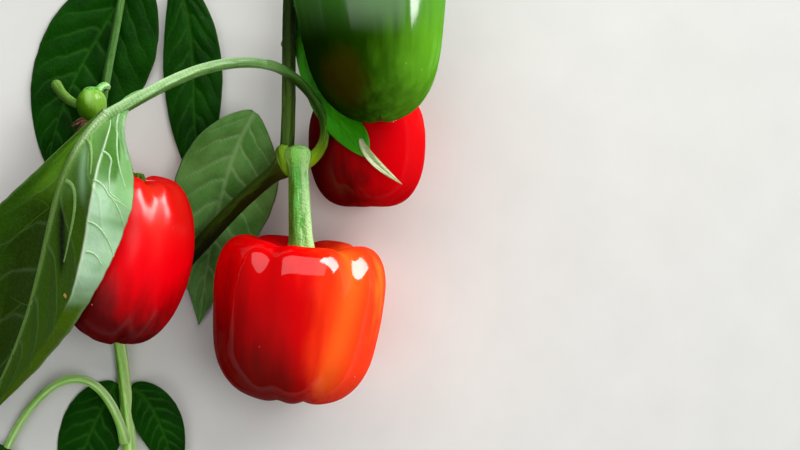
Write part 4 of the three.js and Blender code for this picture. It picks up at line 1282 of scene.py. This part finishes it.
driedPetal = {
    "Half": 0.0016, "Root": 0.0008, "Inner": (50.0, 30.0), "Outer": (-60.0, -40.0),
    "Wave": 0.0009, "Wave Reach": 0.001, "Quilt": 0.0004, "Vein Count": 4.0, "Rib Width": 0.0004,
    "Rib Lift": 0.0003, "Thickness": 0.0003, "Columns": 30, "Rows": 40,
}
driedPaths = [
    [(-0.0465, 0.034, 0.0165), (-0.0485, 0.033, 0.0185), (-0.0515, 0.0315, 0.018),
     (-0.0535, 0.0305, 0.0155)],
    [(-0.0455, 0.0335, 0.0165), (-0.0465, 0.0315, 0.0185), (-0.0495, 0.0285, 0.018),
     (-0.0515, 0.0265, 0.0155)],
]
driedSkin = leafSkin("driedSkin", bladeTints((96, 60, 36), (52, 26, 12), (170, 130, 100), blotchScale=500.0))
for number, path in enumerate(driedPaths):
    values = {**driedPetal, "path": path, "Seed": 20.0 + number}
    growLeaf(f"driedPetal{number + 1}", values, driedSkin, "young_fruit")
print("young fruit made")

# The stage: a pale floor, soft lights, and a camera straight above the middle of the photograph
floorSize = 12.0
bpy.ops.mesh.primitive_plane_add(size=floorSize)
floor = bpy.context.object
floor.name = "floor"
floorMaterial, floorTree, floorShader = startMaterial("paleFloor", Roughness=0.7, Specular_IOR_Level=0.0)
floorNoise = noiseAt(floorTree, objectPlace(floorTree), scale=40.0)
plug(floorTree, mixTints(floorTree, floorNoise, tint(214, 214, 210), tint(222, 222, 218)),
     floorShader.inputs["Base Color"])
floor.data.materials.append(floorMaterial)

branchMiddle = Vector((0.03, -0.01, 0.03))


# The windows are seen in shiny skins, and the other lights just brighten
def softLight(name, place, power, width, depth, isMirrored, brightens=True):
    data = bpy.data.lights.new(name, "AREA")
    data.shape = "RECTANGLE"
    data.size = width
    data.size_y = depth
    data.energy = power
    light = bpy.data.objects.new(name, data)
    light.location = place
    light.visible_glossy = isMirrored
    light.visible_diffuse = brightens
    light.visible_camera = False
    light.rotation_euler = (branchMiddle - Vector(place)).to_track_quat("-Z", "Y").to_euler()
    bpy.context.collection.objects.link(light)


softLight("wideWindow", (0.05, 0.6, 0.66), 5.6, 1.3, 0.8, True)
softLight("brightWindow", (0.95, 0.86, 0.38), 44.0, 1.0, 0.85, True, False)
softLight("sideLight", (2.898, 2.426, 1.017), 180.0, 1.95, 1.95, False)
softLight("keyLight", (0.5, -0.1, 1.2), 6.0, 0.6, 0.6, False)
softLight("fillLight", (-0.5, -0.7, 0.9), 3.4, 1.0, 0.8, False)
world = bpy.data.worlds.new("studio")
world.use_nodes = True
world.node_tree.nodes["Background"].inputs["Color"].default_value = tint(222, 228, 232)
world.node_tree.nodes["Background"].inputs["Strength"].default_value = 0.06
bpy.context.scene.world = world
bpy.context.scene.view_settings.view_transform = "Standard"

photoView = {"place": (0.103, -0.0165, 0.9132), "lens": 85.0, "sensorWidth": 36.0}
cameraData = bpy.data.cameras.new("photoCamera")
cameraData.lens = photoView["lens"]
cameraData.sensor_width = photoView["sensorWidth"]
camera = bpy.data.objects.new("photoCamera", cameraData)
camera.location = photoView["place"]
bpy.context.collection.objects.link(camera)
bpy.context.scene.camera = camera
print("stage set")
